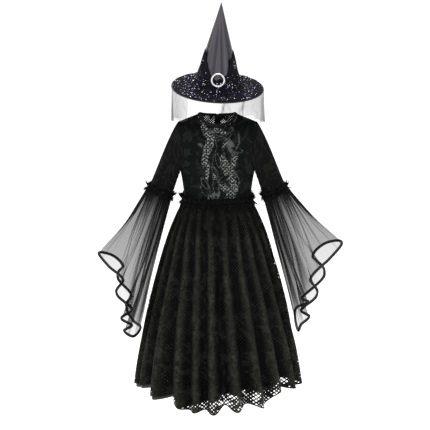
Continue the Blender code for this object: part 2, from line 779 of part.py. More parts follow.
def skirt_point(column, columns, drop, wave_share, gather_share, inset):
    """A point of the skirt, gathered at the waist and waved at the hem."""
    angle = 2 * math.pi * column / columns
    depth_name = "front" if math.cos(angle) > 0 else "back"
    below = (drop - WAIST_DROP) / (HEM_DROP - WAIST_DROP)
    squareness = BODY_SQUARENESS + (2.0 - BODY_SQUARENESS) * ease(below * 3)
    reach, low = hem_wave(angle)
    fullness = max(below, 0.0) ** 1.2
    gather = (GATHER_AT_SEAM + GATHER_GROWTH * ease(below * 20)) * gather_share
    gather *= math.cos(SKIRT_GATHERS * angle)
    from_zip = math.pi - abs((angle + math.pi) % (2 * math.pi) - math.pi)
    gather *= max(1 - below / GATHER_END, 0.0) * ease(from_zip / ZIP_FLAT_ANGLE)
    swing = reach * fullness * wave_share + gather - inset
    half_width = smooth(SKIRT, "half_width", drop)
    x, y = around(angle, half_width, smooth(SKIRT, depth_name, drop), squareness)
    length = math.hypot(x, y)
    hang = low * max(2 * below - 1, 0.0)
    return x * (1 + swing / length), y * (1 + swing / length), -(drop + hang)


def skirt_grid(first, last, columns, drops, wave_share=1.0, gather_share=1.0, insets=None):
    grid = []
    for j, drop in enumerate(drops):
        inset = insets[j] if insets else 0.0
        row = []
        for k in range(first, last + 1):
            row.append(skirt_point(k, columns, drop, wave_share, gather_share, inset))
        grid.append(row)
    return np.array(grid)


def seam_edges(grid, back, centre_half):
    """Sets a panel's side seams just off the side plane, and the back's centre edge off the middle."""
    sign = 1.0 if back else -1.0
    for edge in (0, -1):
        if abs(grid[-1, edge, 1]) < SIDE_SEAM_REACH:
            grid[:, edge, 1] = sign * SEAM * 0.7
            continue
        side = math.copysign(1.0, grid[-1, 1 if edge == 0 else -2, 0])
        for j, half in enumerate(centre_half):
            grid[j, edge, 0] = side * half
    return grid


def build_skirt(lace, satin):
    columns = SKIRT_GATHERS * COLUMNS_PER_GATHER
    quarter = columns // 4
    drops = list(SKIRT_ROWS) + [HEM_DROP]
    drops[0] += SEAM / 2
    centre = [ZIP_HALF if drop < SKIRT_SLIT_DROP else SEAM * 0.7 for drop in drops]
    spans = (
        ("skirt_front", -quarter, quarter, False),
        ("skirt_back_left", quarter, 2 * quarter, True),
        ("skirt_back_right", -2 * quarter, -quarter, True),
    )
    for name, first, last, back in spans:
        grid = seam_edges(skirt_grid(first, last, columns, drops), back, centre)
        step = 4 if back else 2
        gaps = [(HEM_GAP_ROW, k) for k in range(1, last - first - 1, step)]
        wall(name, grid, LACE, lace, gaps=gaps, gap_share=HEM_GAP_SHARE)

    quarter = SKIRT_LINING_COLUMNS // 4
    half = SKIRT_LINING_COLUMNS // 2
    drops = list(SKIRT_LINING_ROWS) + [HEM_DROP - LINING_HEM_RISE]
    drops[0] += SEAM / 2
    insets = [LINING_WAIST_INSET]
    for drop in drops[1:]:
        below = (drop - WAIST_DROP) / (HEM_DROP - WAIST_DROP)
        insets.append(
            LINING_SKIRT_INSET + (LINING_HEM_INSET - LINING_SKIRT_INSET) * below**1.2
        )
    centre = [LINING_ZIP_HALF if drop < SKIRT_SLIT_DROP else SEAM * 0.7 for drop in drops]
    grid = lining_grid(-half // 2, half // 2, drops, insets)
    wall("skirt_lining_front", seam_edges(grid, False, centre), LINING, satin)
    grid = lining_grid(half // 2, half, drops, insets)
    wall("skirt_lining_back_left", seam_edges(grid, True, centre), LINING, satin)
    grid = lining_grid(-half, -half // 2, drops, insets)
    wall("skirt_lining_back_right", seam_edges(grid, True, centre), LINING, satin)


def lining_grid(first, last, drops, insets):
    return skirt_grid(first, last, SKIRT_LINING_COLUMNS, drops, LINING_WAVE_SHARE, 0.0, insets)


def build_waist_trim(trim):
    """A strip gathered along its middle over the waist seam, open at the zip."""
    count = 2 * WAIST_TRIM_WAVES
    rows = []
    for trim_row in WAIST_TRIM_ROWS:
        row = []
        for k in range(count + 1):
            angle = math.pi * (2 * k / count - 1)
            out = trim_row.out + trim_row.frill * unevenness(k) * (1 if k % 2 else -1)
            depth_name = "front" if math.cos(angle) > 0 else "back"
            x, y = around(
                angle,
                smooth(BODY, "half_width", WAIST_DROP) + out,
                smooth(BODY, depth_name, WAIST_DROP) + out,
                BODY_SQUARENESS,
            )
            if k in (0, count):
                x = ZIP_HALF if k else -ZIP_HALF
            row.append((x, y, -WAIST_DROP - trim_row.along * unevenness(k + 4)))
        rows.append(row)
    wall("waist_trim", np.array(rows), TRIM, trim)


def crown_point(turn, height, out=0.0):
    """A point on the crown, this far out from it, in the hat's own frame."""
    share = 1 - height / CROWN_HEIGHT
    slant = math.atan2(CROWN_HALF_WIDTH, CROWN_HEIGHT)
    grow = out * math.cos(slant)
    x = math.sin(turn) * (CROWN_HALF_WIDTH * share + grow)
    y = -math.cos(turn) * (CROWN_HALF_DEPTH * share + grow)
    return x, y, height + out * math.sin(slant)


def brim_point(turn, share, up=0.0, radius=BRIM_RADIUS):
    """A point of the brim, from the head opening at 0 to its edge at 1."""
    x = math.sin(turn) * (HEAD_HALF_WIDTH + share * (radius - HEAD_HALF_WIDTH))
    y = -math.cos(turn) * (HEAD_HALF_DEPTH + share * (radius - HEAD_HALF_DEPTH))
    return x, y, up - BRIM_DROOP * share * share


def hat_turns(columns=HAT_COLUMNS):
    return [2 * math.pi * k / columns for k in range(columns)]


def build_hat(satin, net, veil_net, silver, binding):
    place = bpy.data.objects.new("hat_place", None)
    bpy.context.scene.collection.objects.link(place)
    place.location = HAT_PLACE
    place.rotation_euler = Euler((HAT_FORWARD_TILT, HAT_SIDE_TILT, 0.0))

    crown = np.array([[crown_point(turn, height) for turn in hat_turns()] for height in CROWN_ROWS])
    tip = (0.0, 0.0, CROWN_HEIGHT)
    pieces = [wall("hat_crown", crown, CROWN_WALL, satin, ring=True, tip=tip)]
    bound = 1 - BRIM_BINDING_WIDTH / (BRIM_RADIUS - HEAD_HALF_WIDTH)
    shares = (0.0, BRIM_MIDDLE, bound)
    brim = [[brim_point(turn, share, -BRIM_WALL / 2) for turn in hat_turns()] for share in shares]
    pieces.append(wall("hat_brim", np.array(brim), BRIM_WALL, satin, ring=True))
    shares = (bound + BRIM_BINDING_GAP / (BRIM_RADIUS - HEAD_HALF_DEPTH), 1.0)
    edge = [[brim_point(turn, share, -BRIM_WALL / 2) for turn in hat_turns()] for share in shares]
    pieces.append(wall("hat_brim_binding", np.array(edge), BRIM_BINDING, binding, ring=True))

    # Net over the brim and the foot of the crown, opening in a V over the buckle
    columns = []
    for k, turn in enumerate(hat_turns()):
        from_front = abs((turn + math.pi) % (2 * math.pi) - math.pi)
        top = NET_FRONT_TOP + (NET_SIDE_TOP - NET_FRONT_TOP) * ease(from_front / NET_OPEN_ANGLE)
        fold = NET_FOLD * (1 if k % 2 else -1)
        column = [crown_point(turn, top, NET_STANDOFF + fold * 0.6)]
        for height in (top * NET_MIDDLE, NET_FOOT):
            column.append(crown_point(turn, height, NET_STANDOFF + fold))
        for share in NET_BRIM_SHARES:
            column.append(brim_point(turn, share, NET_BRIM_STANDOFF + fold * 0.5))
        column.append(brim_point(turn, bound * 0.985, NET_BRIM_STANDOFF))
        columns.append(column)
    grid = np.array(columns).transpose(1, 0, 2)
    pieces.append(wall("hat_net", grid, TULLE, net, ring=True))

    # A round buckle on the front of the crown
    pieces.append(buckle(silver))
    for piece in pieces:
        piece.parent = place

    bpy.context.view_layer.update()
    to_world = place.matrix_world
    columns = []
    span = 2 * (math.pi - VEIL_FRONT_ANGLE)
    under = -BRIM_WALL / 2 - BRIM_BINDING / 2 - TULLE / 2 - SEAM * 1.5
    for k in range(VEIL_COLUMNS + 1):
        turn = VEIL_FRONT_ANGLE + span * k / VEIL_COLUMNS
        top = to_world @ Vector(brim_point(turn, VEIL_BRIM_SHARE, under))
        hem = VEIL_HEM_HEIGHT + VEIL_FRONT_HEM_RISE * max(math.cos(turn), 0.0)
        hem += VEIL_HEM_SWAY * math.sin(VEIL_SWAY_TURNS * turn)
        out = Vector((math.sin(turn), -math.cos(turn), 0.0))
        column = []
        for share in VEIL_ROWS:
            fold = VEIL_FOLD_TOP + (VEIL_FOLD_HEM - VEIL_FOLD_TOP) * share
            hung = Vector((top.x, top.y, top.z + share * (hem - top.z)))
            column.append(hung + out * fold * (1 if k % 2 else -1))
        columns.append(column)
    wall("hat_veil", np.array(columns).transpose(1, 0, 2), TULLE, veil_net)


def buckle(silver):
    """A flat ring with rounded faces, facing out along the crown's slope."""
    mesh = bpy.data.meshes.new("hat_buckle")
    solid = bmesh.new()
    turns, sides = 24, 6
    slant = math.atan2(CROWN_HALF_DEPTH, CROWN_HEIGHT)
    out = Vector((0.0, -math.cos(slant), math.sin(slant)))
    centre = Vector(crown_point(0.0, BUCKLE_HEIGHT)) + out * BUCKLE_STANDOFF
    frame = Matrix((Vector((1.0, 0.0, 0.0)), out.cross(Vector((1.0, 0.0, 0.0))), out)).transposed()
    loops = []
    for k in range(turns):
        turn = 2 * math.pi * k / turns
        loop = []
        for n in range(sides):
            angle = 2 * math.pi * n / sides
            radius = BUCKLE_RADIUS + BUCKLE_BAND / 2 * math.cos(angle)
            up = BUCKLE_THICKNESS / 2 * math.sin(angle)
            local = Vector((radius * math.cos(turn), radius * math.sin(turn), up))
            loop.append(solid.verts.new(centre + frame @ local))
        loops.append(loop)
    for k, loop in enumerate(loops):
        following = loops[(k + 1) % turns]
        for n in range(sides):
            m = (n + 1) % sides
            solid.faces.new((loop[n], following[n], following[m], loop[m]))
    bmesh.ops.recalc_face_normals(solid, faces=solid.faces)
    solid.to_mesh(mesh)
    solid.free()
    mesh.materials.append(silver)
    mesh.shade_smooth()
    piece = bpy.data.objects.new("hat_buckle", mesh)
    bpy.context.scene.collection.objects.link(piece)
    return piece


def main():
    clear_scene()
    lace = finish("black lace", (0.012, 0.012, 0.013), 0.75)
    satin = finish("charcoal satin", (0.065, 0.065, 0.066), 0.35)
    tulle = finish("black tulle", (0.035, 0.035, 0.037), 0.8)
    binding = finish("black satin binding", (0.010, 0.010, 0.011), 0.4)
    trim = finish("black frill trim", (0.008, 0.008, 0.009), 0.85)
    metal = finish("blackened zip metal", (0.03, 0.03, 0.032), 0.35, 1.0)
    hat_satin = finish("grey satin", (0.075, 0.067, 0.080), 0.32)
    hat_net = finish("sequinned black net", (0.012, 0.010, 0.020), 0.6)
    veil_net = finish("pale veil net", (0.55, 0.53, 0.57), 0.8)
    silver = finish("silvered buckle", (0.75, 0.75, 0.78), 0.2, 1.0)

    build_bodice(lace, satin)
    wall("neckband", neckband_grid(), NECKBAND, binding)
    build_zip(binding, metal)
    build_sleeves(lace, tulle, binding, trim)
    build_skirt(lace, satin)
    build_waist_trim(trim)
    build_hat(hat_satin, hat_net, veil_net, silver, binding)


main()
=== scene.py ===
import math
from collections import namedtuple

import bpy
import numpy as np
from mathutils import Euler, Matrix, Vector


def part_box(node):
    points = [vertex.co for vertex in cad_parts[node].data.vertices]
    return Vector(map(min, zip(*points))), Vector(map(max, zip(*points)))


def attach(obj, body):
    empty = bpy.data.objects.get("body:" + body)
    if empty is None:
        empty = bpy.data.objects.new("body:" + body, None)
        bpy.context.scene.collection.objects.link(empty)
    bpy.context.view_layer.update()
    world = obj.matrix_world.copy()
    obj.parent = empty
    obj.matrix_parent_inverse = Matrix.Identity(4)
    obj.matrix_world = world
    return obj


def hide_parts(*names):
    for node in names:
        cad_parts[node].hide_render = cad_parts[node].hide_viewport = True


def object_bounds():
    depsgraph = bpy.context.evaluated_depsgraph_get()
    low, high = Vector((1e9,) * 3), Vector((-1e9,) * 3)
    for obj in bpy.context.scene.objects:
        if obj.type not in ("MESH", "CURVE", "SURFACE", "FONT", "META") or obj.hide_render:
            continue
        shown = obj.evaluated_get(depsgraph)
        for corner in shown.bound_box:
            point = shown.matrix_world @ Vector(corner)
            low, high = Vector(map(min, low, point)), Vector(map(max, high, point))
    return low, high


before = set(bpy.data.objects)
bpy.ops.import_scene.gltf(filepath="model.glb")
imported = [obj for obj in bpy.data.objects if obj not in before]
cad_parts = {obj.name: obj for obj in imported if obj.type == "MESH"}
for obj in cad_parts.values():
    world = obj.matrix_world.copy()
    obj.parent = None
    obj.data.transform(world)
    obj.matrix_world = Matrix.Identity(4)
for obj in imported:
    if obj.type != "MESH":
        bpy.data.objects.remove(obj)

cad_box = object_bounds()

# The setting. A plain pale floor and soft studio light, seen from where the photograph was
# taken: in front of the costume and a little above its middle, through a long lens.


def linear(colour):
    """The linear RGBA of an sRGB hex colour."""
    shares = [int(colour[k : k + 2], 16) / 255 for k in (1, 3, 5)]
    return (*[c / 12.92 if c <= 0.04045 else ((c + 0.055) / 1.055) ** 2.4 for c in shares], 1.0)


def add(tree, kind, inputs=None, out=0, **settings):
    """Adds a node with its settings. Each input is a value or the output that it is linked to."""
    made = tree.nodes.new(kind)
    for name, value in settings.items():
        setattr(made, name, value)
    for name, value in (inputs or {}).items():
        if isinstance(value, bpy.types.NodeSocket):
            tree.links.new(value, made.inputs[name])
        else:
            made.inputs[name].default_value = value
    return made if out is None else made.outputs[out]


def maths(tree, operation, *values):
    """A sum on numbers, with its values in order."""
    return add(tree, "ShaderNodeMath", dict(enumerate(values)), operation=operation)


def vector_maths(tree, operation, *values):
    """A sum on vectors, with its values in order."""
    return add(tree, "ShaderNodeVectorMath", dict(enumerate(values)), operation=operation)


def painted_on(tree, name):
    """What the piece has painted on it under this name."""
    return add(tree, "ShaderNodeAttribute", attribute_name=name, out=2)


def finish_of(name, **sockets):
    """A new Principled material and its shader, with these sockets set."""
    material = bpy.data.materials.new(name)
    material.use_nodes = True
    shader = material.node_tree.nodes["Principled BSDF"]
    for socket, value in sockets.items():
        shader.inputs[socket.replace("_", " ")].default_value = value
    return material, material.node_tree, shader


scene = bpy.context.scene
scene.view_settings.view_transform = "Standard"

camera = bpy.data.objects.new("camera", bpy.data.cameras.new("camera"))
scene.collection.objects.link(camera)
camera.location = (-0.00875, -4.8907, 0.67657)
camera.rotation_euler = (math.radians(78), 0.0, 0.0)
camera.data.sensor_width = 36.0
camera.data.lens = 119.6
scene.camera = camera

STUDIO_LAMPS = (
    ("key lamp", (-2.4, -3.4, 2.3), 2.2, 95.0),
    ("fill lamp", (2.8, -3.0, 0.9), 2.8, 42.0),
    ("top lamp", (0.2, 0.6, 3.4), 2.4, 60.0),
    ("back lamp", (-1.2, 3.2, 1.6), 2.4, 40.0),
)
for lamp_name, place, size, power in STUDIO_LAMPS:
    lamp = bpy.data.objects.new(lamp_name, bpy.data.lights.new(lamp_name, "AREA"))
    lamp.data.size = size
    lamp.data.energy = power
    lamp.location = place
    lamp.rotation_euler = (Vector((0.0, 0.0, -0.4)) - lamp.location).to_track_quat("-Z", "Y").to_euler()
    scene.collection.objects.link(lamp)

world = bpy.data.worlds.new("studio")
world.use_nodes = True
world.node_tree.nodes["Background"].inputs["Color"].default_value = (1.0, 1.0, 1.0, 1.0)
world.node_tree.nodes["Background"].inputs["Strength"].default_value = 0.70
scene.world = world

FLOOR_BELOW = 0.50
floor_mesh = bpy.data.meshes.new("floor")
reach, level = 70.0, cad_box[0].z - FLOOR_BELOW
floor_mesh.from_pydata(
    [(-reach, -reach, level), (reach, -reach, level), (reach, reach, level), (-reach, reach, level)],
    [],
    [(0, 1, 2, 3)],
)
floor = bpy.data.objects.new("floor", floor_mesh)
scene.collection.objects.link(floor)
# Matt white paper, lit evenly, so that it reads as white
paper, _, shader = finish_of("matt white paper", Base_Color=linear("#f4f4f4"), Roughness=0.9)
shader.inputs["Emission Color"].default_value = (1.0, 1.0, 1.0, 1.0)
shader.inputs["Emission Strength"].default_value = 0.6
floor_mesh.materials.append(paper)

# The bodice. Two thicknesses: corded black lace outside, and under it a satin lining. The cut
# is a front and two backs, sewn at the shoulders and sides and shut by a zip at the centre back.
SEAM = 0.0003
SHOULDER_HALF, SHOULDER_DROP, SHOULDER_ROLL = 0.1375, 0.034, 0.045
NECK_HALF = SHOULDER_HALF / 2
NECK_SIDE_DROP, NECK_FRONT_DROP, NECK_BACK_DROP = 0.0065, 0.0435, 0.0225
NECK_FRONT_DEPTH, NECK_BACK_DEPTH, NECK_BLEND = 0.062, 0.055, 0.27
WAIST_DROP, BODY_SQUARENESS = 0.306, 2.4
ZIP_HALF, LINING_ZIP_HALF = 0.0045, 0.0125

Section = namedtuple("Section", "drop half_width front back")
BODY = (
    Section(0.000, 0.1500, 0.052, 0.048),
    Section(0.035, 0.1500, 0.059, 0.056),
    Section(0.075, 0.1475, 0.069, 0.068),
    Section(0.125, 0.1420, 0.079, 0.078),
    Section(0.196, 0.1305, 0.088, 0.080),
    Section(0.240, 0.1225, 0.087, 0.077),
    Section(0.281, 0.1175, 0.084, 0.0745),
    Section(0.306, 0.1170, 0.084, 0.0745),
)
Armhole = namedtuple("Armhole", "fraction half_width")
ARMHOLE = (
    Armhole(0.000, 0.1375),
    Armhole(0.020, 0.1365),
    Armhole(0.060, 0.1325),
    Armhole(0.120, 0.1265),
    Armhole(0.190, 0.1210),
    Armhole(0.270, 0.1170),
    Armhole(0.360, 0.1155),
    Armhole(0.450, 0.1180),
    Armhole(0.530, 0.1235),
    Armhole(0.575, 0.1275),
    Armhole(0.600, 0.1303),
)


def smooth(table, column, drop):
    """A column of a table of sections at these drops, on a smooth curve through its rows."""
    drops = np.array([row.drop for row in table])
    values = np.array([getattr(row, column) for row in table])
    slopes = np.gradient(values, drops)
    drop = np.clip(drop, drops[0], drops[-1])
    row = np.clip(np.searchsorted(drops, drop, side="right") - 1, 0, len(drops) - 2)
    step = drops[row + 1] - drops[row]
    t = (drop - drops[row]) / step
    start = values[row] * (1 + 2 * t) * (1 - t) ** 2 + slopes[row] * step * t * (1 - t) ** 2
    return start + values[row + 1] * t * t * (3 - 2 * t) - slopes[row + 1] * step * t * t * (1 - t)


def ease(t):
    t = np.clip(t, 0.0, 1.0)
    return t * t * (3 - 2 * t)


def shoulder_line(x):
    slope = (SHOULDER_DROP - NECK_SIDE_DROP) / (SHOULDER_HALF - NECK_HALF)
    beyond = np.abs(x) - NECK_HALF
    return NECK_SIDE_DROP + np.where(beyond > 0, slope, 3 * slope) * beyond


def bodice_surface(across, fractions, side, centre_half=0.0):
    """Points of the front or the back, at these shares of its width and its height."""
    across, fraction = np.meshgrid(across, fractions)
    below = fraction > ARMHOLE[-1].fraction
    side_drop = SHOULDER_DROP + fraction * (WAIST_DROP - SHOULDER_DROP)
    armhole = np.interp(fraction, [a.fraction for a in ARMHOLE], [a.half_width for a in ARMHOLE])
    edge = np.where(below, smooth(BODY, "half_width", side_drop), armhole)
    x = np.sign(across) * np.maximum(np.abs(across) * edge, centre_half)
    neck_share = np.clip(np.abs(across) * SHOULDER_HALF / NECK_HALF, 0.0, 1.0)
    curve = np.sqrt(1 - neck_share**2)
    depth, low = (NECK_FRONT_DEPTH, NECK_FRONT_DROP)
    if side == "back":
        depth, low = (NECK_BACK_DEPTH, NECK_BACK_DROP)
    on_neck = neck_share < 1
    top_depth = np.where(on_neck, depth * curve, 0.0)
    neck_drop = NECK_SIDE_DROP + (low - NECK_SIDE_DROP) * curve
    top_drop = np.where(on_neck, neck_drop, shoulder_line(across * SHOULDER_HALF))
    drop = top_drop + fraction * (WAIST_DROP - top_drop)
    half_width = smooth(BODY, "half_width", drop)
    narrowing = np.maximum(1 - (np.abs(x) / half_width) ** BODY_SQUARENESS, 0) ** (1 / BODY_SQUARENESS)
    roll = np.clip((drop - shoulder_line(x)) / SHOULDER_ROLL, 0.0, 1.0)
    stands = smooth(BODY, side, drop) * narrowing * np.sqrt(1 - (1 - roll) ** 2)
    stands += np.maximum(1 - fraction / NECK_BLEND, 0.0) ** 2 * (top_depth - stands)
    forward = -1.0 if side == "front" else 1.0
    return np.stack([x, forward * np.maximum(stands, 0.0), -drop], axis=2)


def out_of(grid, ring=False):
    """Unit normals of a grid whose rows run down and whose columns run anticlockwise from above."""
    if ring:
        across = np.roll(grid, -1, axis=1) - np.roll(grid, 1, axis=1)
    else:
        across = np.gradient(grid, axis=1)
    normal = np.cross(np.gradient(grid, axis=0), across)
    return normal / np.maximum(np.linalg.norm(normal, axis=2, keepdims=True), 1e-12)


def cloth(name, grid, across, down, material, ring=False, painted=None, thickness=0.0):
    """A sheet of cloth on a grid of points. across and down lay its threads out flat, in metres."""
    rows, columns = grid.shape[:2]
    span = columns if ring else columns - 1
    j, i = np.meshgrid(np.arange(rows - 1), np.arange(span), indexing="ij")
    j, i = j.ravel(), i.ravel()
    corner_rows = np.stack([j, j + 1, j + 1, j], axis=1)
    corner_columns = np.stack([i, i, i + 1, i + 1], axis=1)
    faces = corner_rows * columns + corner_columns % columns
    mesh = bpy.data.meshes.new(name)
    mesh.from_pydata(grid.reshape(-1, 3).tolist(), [], faces.tolist())
    laid = mesh.uv_layers.new(name="threads")
    across, down = np.broadcast_arrays(across, down)
    flat = np.stack([across[corner_rows, corner_columns], down[corner_rows, corner_columns]], axis=2)
    laid.data.foreach_set("uv", flat.astype(np.float32).ravel())
    for label, values in (painted or {}).items():
        layer = mesh.attributes.new(label, "FLOAT", "POINT")
        layer.data.foreach_set("value", np.asarray(values, np.float32).ravel())
    mesh.materials.append(material)
    mesh.shade_smooth()
    piece = bpy.data.objects.new(name, mesh)
    scene.collection.objects.link(piece)
    if thickness:
        solidify = piece.modifiers.new("cloth thickness", "SOLIDIFY")
        solidify.thickness = thickness
        solidify.offset = -1.0
    return piece


def lace_finish(name, ground, thread, flower_share, lattice, tile=(0.084, 0.112), holes=1.0):
    """Corded lace: flowers and leaves on a net. It reads the painted attributes net and bare, which
    open the ground to a lattice or altogether, cord, a raised line with a painted highlight,
    rolled, a hem with no holes, and crest, painted light that lightens the crests of folds and
    leaves their hollows in painted shade."""
    material, tree, shader = finish_of(name, Roughness=0.72)
    # Black lace is matt: little gloss, and the faintest bloom from its loose fibres
    shader.inputs["Specular IOR Level"].default_value = 0.05
    shader.inputs["Sheen Weight"].default_value = 0.008
    shader.inputs["Sheen Roughness"].default_value = 0.5
    threads = add(tree, "ShaderNodeUVMap", uv_map="threads")
    drift = add(tree, "ShaderNodeTexNoise", {"Vector": threads, "Scale": 22.0, "Detail": 1.0}, out=1)
    drift = vector_maths(tree, "SUBTRACT", drift, (0.5, 0.5, 0.5))
    drift = add(tree, "ShaderNodeVectorMath", {0: drift, "Scale": 0.045}, operation="SCALE")
    place = vector_maths(tree, "ADD", threads, drift)
    # Every other row of the repeat steps half a repeat sideways
    parts = add(tree, "ShaderNodeSeparateXYZ", {0: place}, out=None)
    row = maths(tree, "DIVIDE", parts.outputs[1], tile[1])
    row = maths(tree, "FLOOR", row)
    odd = maths(tree, "FLOORED_MODULO", row, 2.0)
    step = maths(tree, "MULTIPLY_ADD", odd, tile[0] / 2, parts.outputs[0])
    place = add(tree, "ShaderNodeCombineXYZ", {0: step, 1: parts.outputs[1]})
    place = vector_maths(tree, "DIVIDE", place, (tile[0], tile[1], 1.0))
    place = vector_maths(tree, "FRACTION", place)
    place = vector_maths(tree, "SUBTRACT", place, (0.5, 0.5, 0.0))
    place = vector_maths(tree, "MULTIPLY", place, (tile[0], tile[1], 0.0))
    inside = None
    # Flowers: middle and radius in millimetres, and petals
    for x, y, radius, petals in ((-14, -22, 19, 5), (22, 30, 13, 6), (-24, 34, 7, 5)):
        centred = vector_maths(tree, "SUBTRACT", place, (x / 1000, y / 1000, 0.0))
        axes = add(tree, "ShaderNodeSeparateXYZ", {0: centred}, out=None)
        turn = maths(tree, "ARCTAN2", axes.outputs[1], axes.outputs[0])
        petal = maths(tree, "MULTIPLY", turn, petals)
        petal = maths(tree, "COSINE", petal)
        petal = maths(tree, "MULTIPLY_ADD", petal, 0.26, 0.80)
        away = add(tree, "ShaderNodeVectorMath", {0: centred}, out=1, operation="LENGTH")
        away = maths(tree, "DIVIDE", away, radius / 1000)
        shape = maths(tree, "SUBTRACT", petal, away)
        inside = shape if inside is None else maths(tree, "MAXIMUM", inside, shape)
    # Leaves: middle, half length, half width in millimetres, and turn in degrees
    for x, y, long, wide, turn in (
        (15, -8, 15, 5.5, 55),
        (26, -30, 13, 5, -30),
        (-28, 6, 14, 5, -60),
        (2, 22, 14, 4.5, 20),
        (-6, 46, 12, 4, 75),
    ):
        leaf = add(
            tree,
            "ShaderNodeMapping",
            {
                "Vector": place,
                "Location": (x / 1000, y / 1000, 0.0),
                "Rotation": (0.0, 0.0, math.radians(turn)),
                "Scale": (long / 1000, wide / 1000, 1.0),
            },
            vector_type="TEXTURE",
        )
        leaf = add(tree, "ShaderNodeVectorMath", {0: leaf}, out=1, operation="LENGTH")
        leaf = maths(tree, "SUBTRACT", 1.0, leaf)
        inside = maths(tree, "MAXIMUM", inside, leaf)
    motif = add(
        tree, "ShaderNodeMapRange", {0: inside, 1: -0.05, 2: 0.05, 3: 0.0, 4: 1.0}, clamp=True
    )
    outline = maths(tree, "ABSOLUTE", inside)
    outline = add(tree, "ShaderNodeMapRange", {0: outline, 1: 0.05, 2: 0.17, 3: 1.0, 4: 0.0}, clamp=True)
    # The ground is a net of crossing threads, drawn coarser than the real one so that it shows
    net_place = add(
        tree,
        "ShaderNodeMapping",
        {
            "Vector": threads,
            "Rotation": (0.0, 0.0, math.radians(45)),
            "Scale": (1 / lattice, 1 / lattice, 1.0),
        },
    )
    net_place = vector_maths(tree, "FRACTION", net_place)
    net_place = vector_maths(tree, "SUBTRACT", net_place, (0.5, 0.5, 0.5))
    net_place = vector_maths(tree, "ABSOLUTE", net_place)
    net_axes = add(tree, "ShaderNodeSeparateXYZ", {0: net_place}, out=None)
    net = maths(tree, "MAXIMUM", net_axes.outputs[0], net_axes.outputs[1])
    open_net = painted_on(tree, "net")
    bare = painted_on(tree, "bare")
    cord = painted_on(tree, "cord")
    # The ground's holes are uneven, and in the lattice its threads are thick and carry a painted highlight
    uneven = add(tree, "ShaderNodeTexNoise", {"Vector": threads, "Scale": 38.0, "Detail": 1.0})
    hole_edge = maths(tree, "MULTIPLY_ADD", uneven, 0.9, net)
    dense = add(
        tree, "ShaderNodeMapRange", {0: hole_edge, 1: 0.60, 2: 0.68, 3: 1.0 - holes, 4: 1.0}, clamp=True
    )
    wide = add(tree, "ShaderNodeMapRange", {0: net, 1: 0.30, 2: 0.36, 3: 0.0, 4: 1.0}, clamp=True)
    ground_cover = maths(tree, "MAXIMUM", dense, open_net)
    keep = maths(tree, "SUBTRACT", 1.0, open_net)
    flowers = maths(tree, "MULTIPLY", motif, keep)
    lines = maths(tree, "MULTIPLY", outline, keep)
    lines = maths(tree, "MAXIMUM", lines, cord)
    cover = maths(tree, "MAXIMUM", ground_cover, flowers)
    rolled = painted_on(tree, "rolled")
    cover = maths(tree, "MAXIMUM", cover, rolled)
    open_share = maths(tree, "SUBTRACT", 1.0, bare)
    cover = maths(tree, "MULTIPLY", cover, open_share)
    cover = maths(tree, "MAXIMUM", cover, lines)
    tree.links.new(cover, shader.inputs["Alpha"])
    raised = maths(tree, "MULTIPLY_ADD", lines, 0.7, flowers)
    shade = maths(tree, "MULTIPLY", raised, flower_share)
    grain = add(tree, "ShaderNodeTexNoise", {"Vector": threads, "Scale": 140.0, "Detail": 2.0})
    shade = maths(tree, "MULTIPLY", shade, grain)
    # Painted light on folds: where crest is set the colour lightens towards the thread colour in uneven
    # patches, and the hollows stay dark as painted shade
    crest = painted_on(tree, "crest")
    mottle = add(
        tree,
        "ShaderNodeTexNoise",
        {"Vector": threads, "Scale": 105.0, "Detail": 3.0, "Distortion": 1.0},
    )
    mottle = add(tree, "ShaderNodeMapRange", {0: mottle, 1: 0.38, 2: 0.62, 3: 0.30, 4: 1.0}, clamp=True)
    crest = maths(tree, "MULTIPLY", crest, mottle)
    shade = add(tree, "ShaderNodeMath", {0: shade, 1: crest}, operation="ADD", use_clamp=True)
    colour = add(
        tree, "ShaderNodeMix", {0: shade, 6: linear(ground), 7: linear(thread)}, out=2, data_type="RGBA"
    )
    # Painted highlight: the cords and the lattice threads are lightened to a pale grey in scattered flecks
    glints = add(tree, "ShaderNodeTexNoise", {"Vector": threads, "Scale": 170.0, "Detail": 1.0})
    glints = add(tree, "ShaderNodeMapRange", {0: glints, 1: 0.44, 2: 0.62, 3: 0.05, 4: 1.0}, clamp=True)
    bright = maths(tree, "MULTIPLY", cord, 0.40)
    lattice_lines = maths(tree, "MULTIPLY", open_net, wide)
    bright = maths(tree, "MAXIMUM", bright, lattice_lines)
    bright = maths(tree, "MULTIPLY", bright, glints)
    colour = add(
        tree, "ShaderNodeMix", {0: bright, 6: colour, 7: linear("#858885")}, out=2, data_type="RGBA"
    )
    tree.links.new(colour, shader.inputs["Base Color"])
    fine = maths(tree, "MULTIPLY_ADD", grain, 0.5, raised)
    relief = add(
        tree, "ShaderNodeBump", {"Strength": 0.7, "Distance": 0.0009, "Height": fine}
    )
    tree.links.new(relief, shader.inputs["Normal"])
    return material


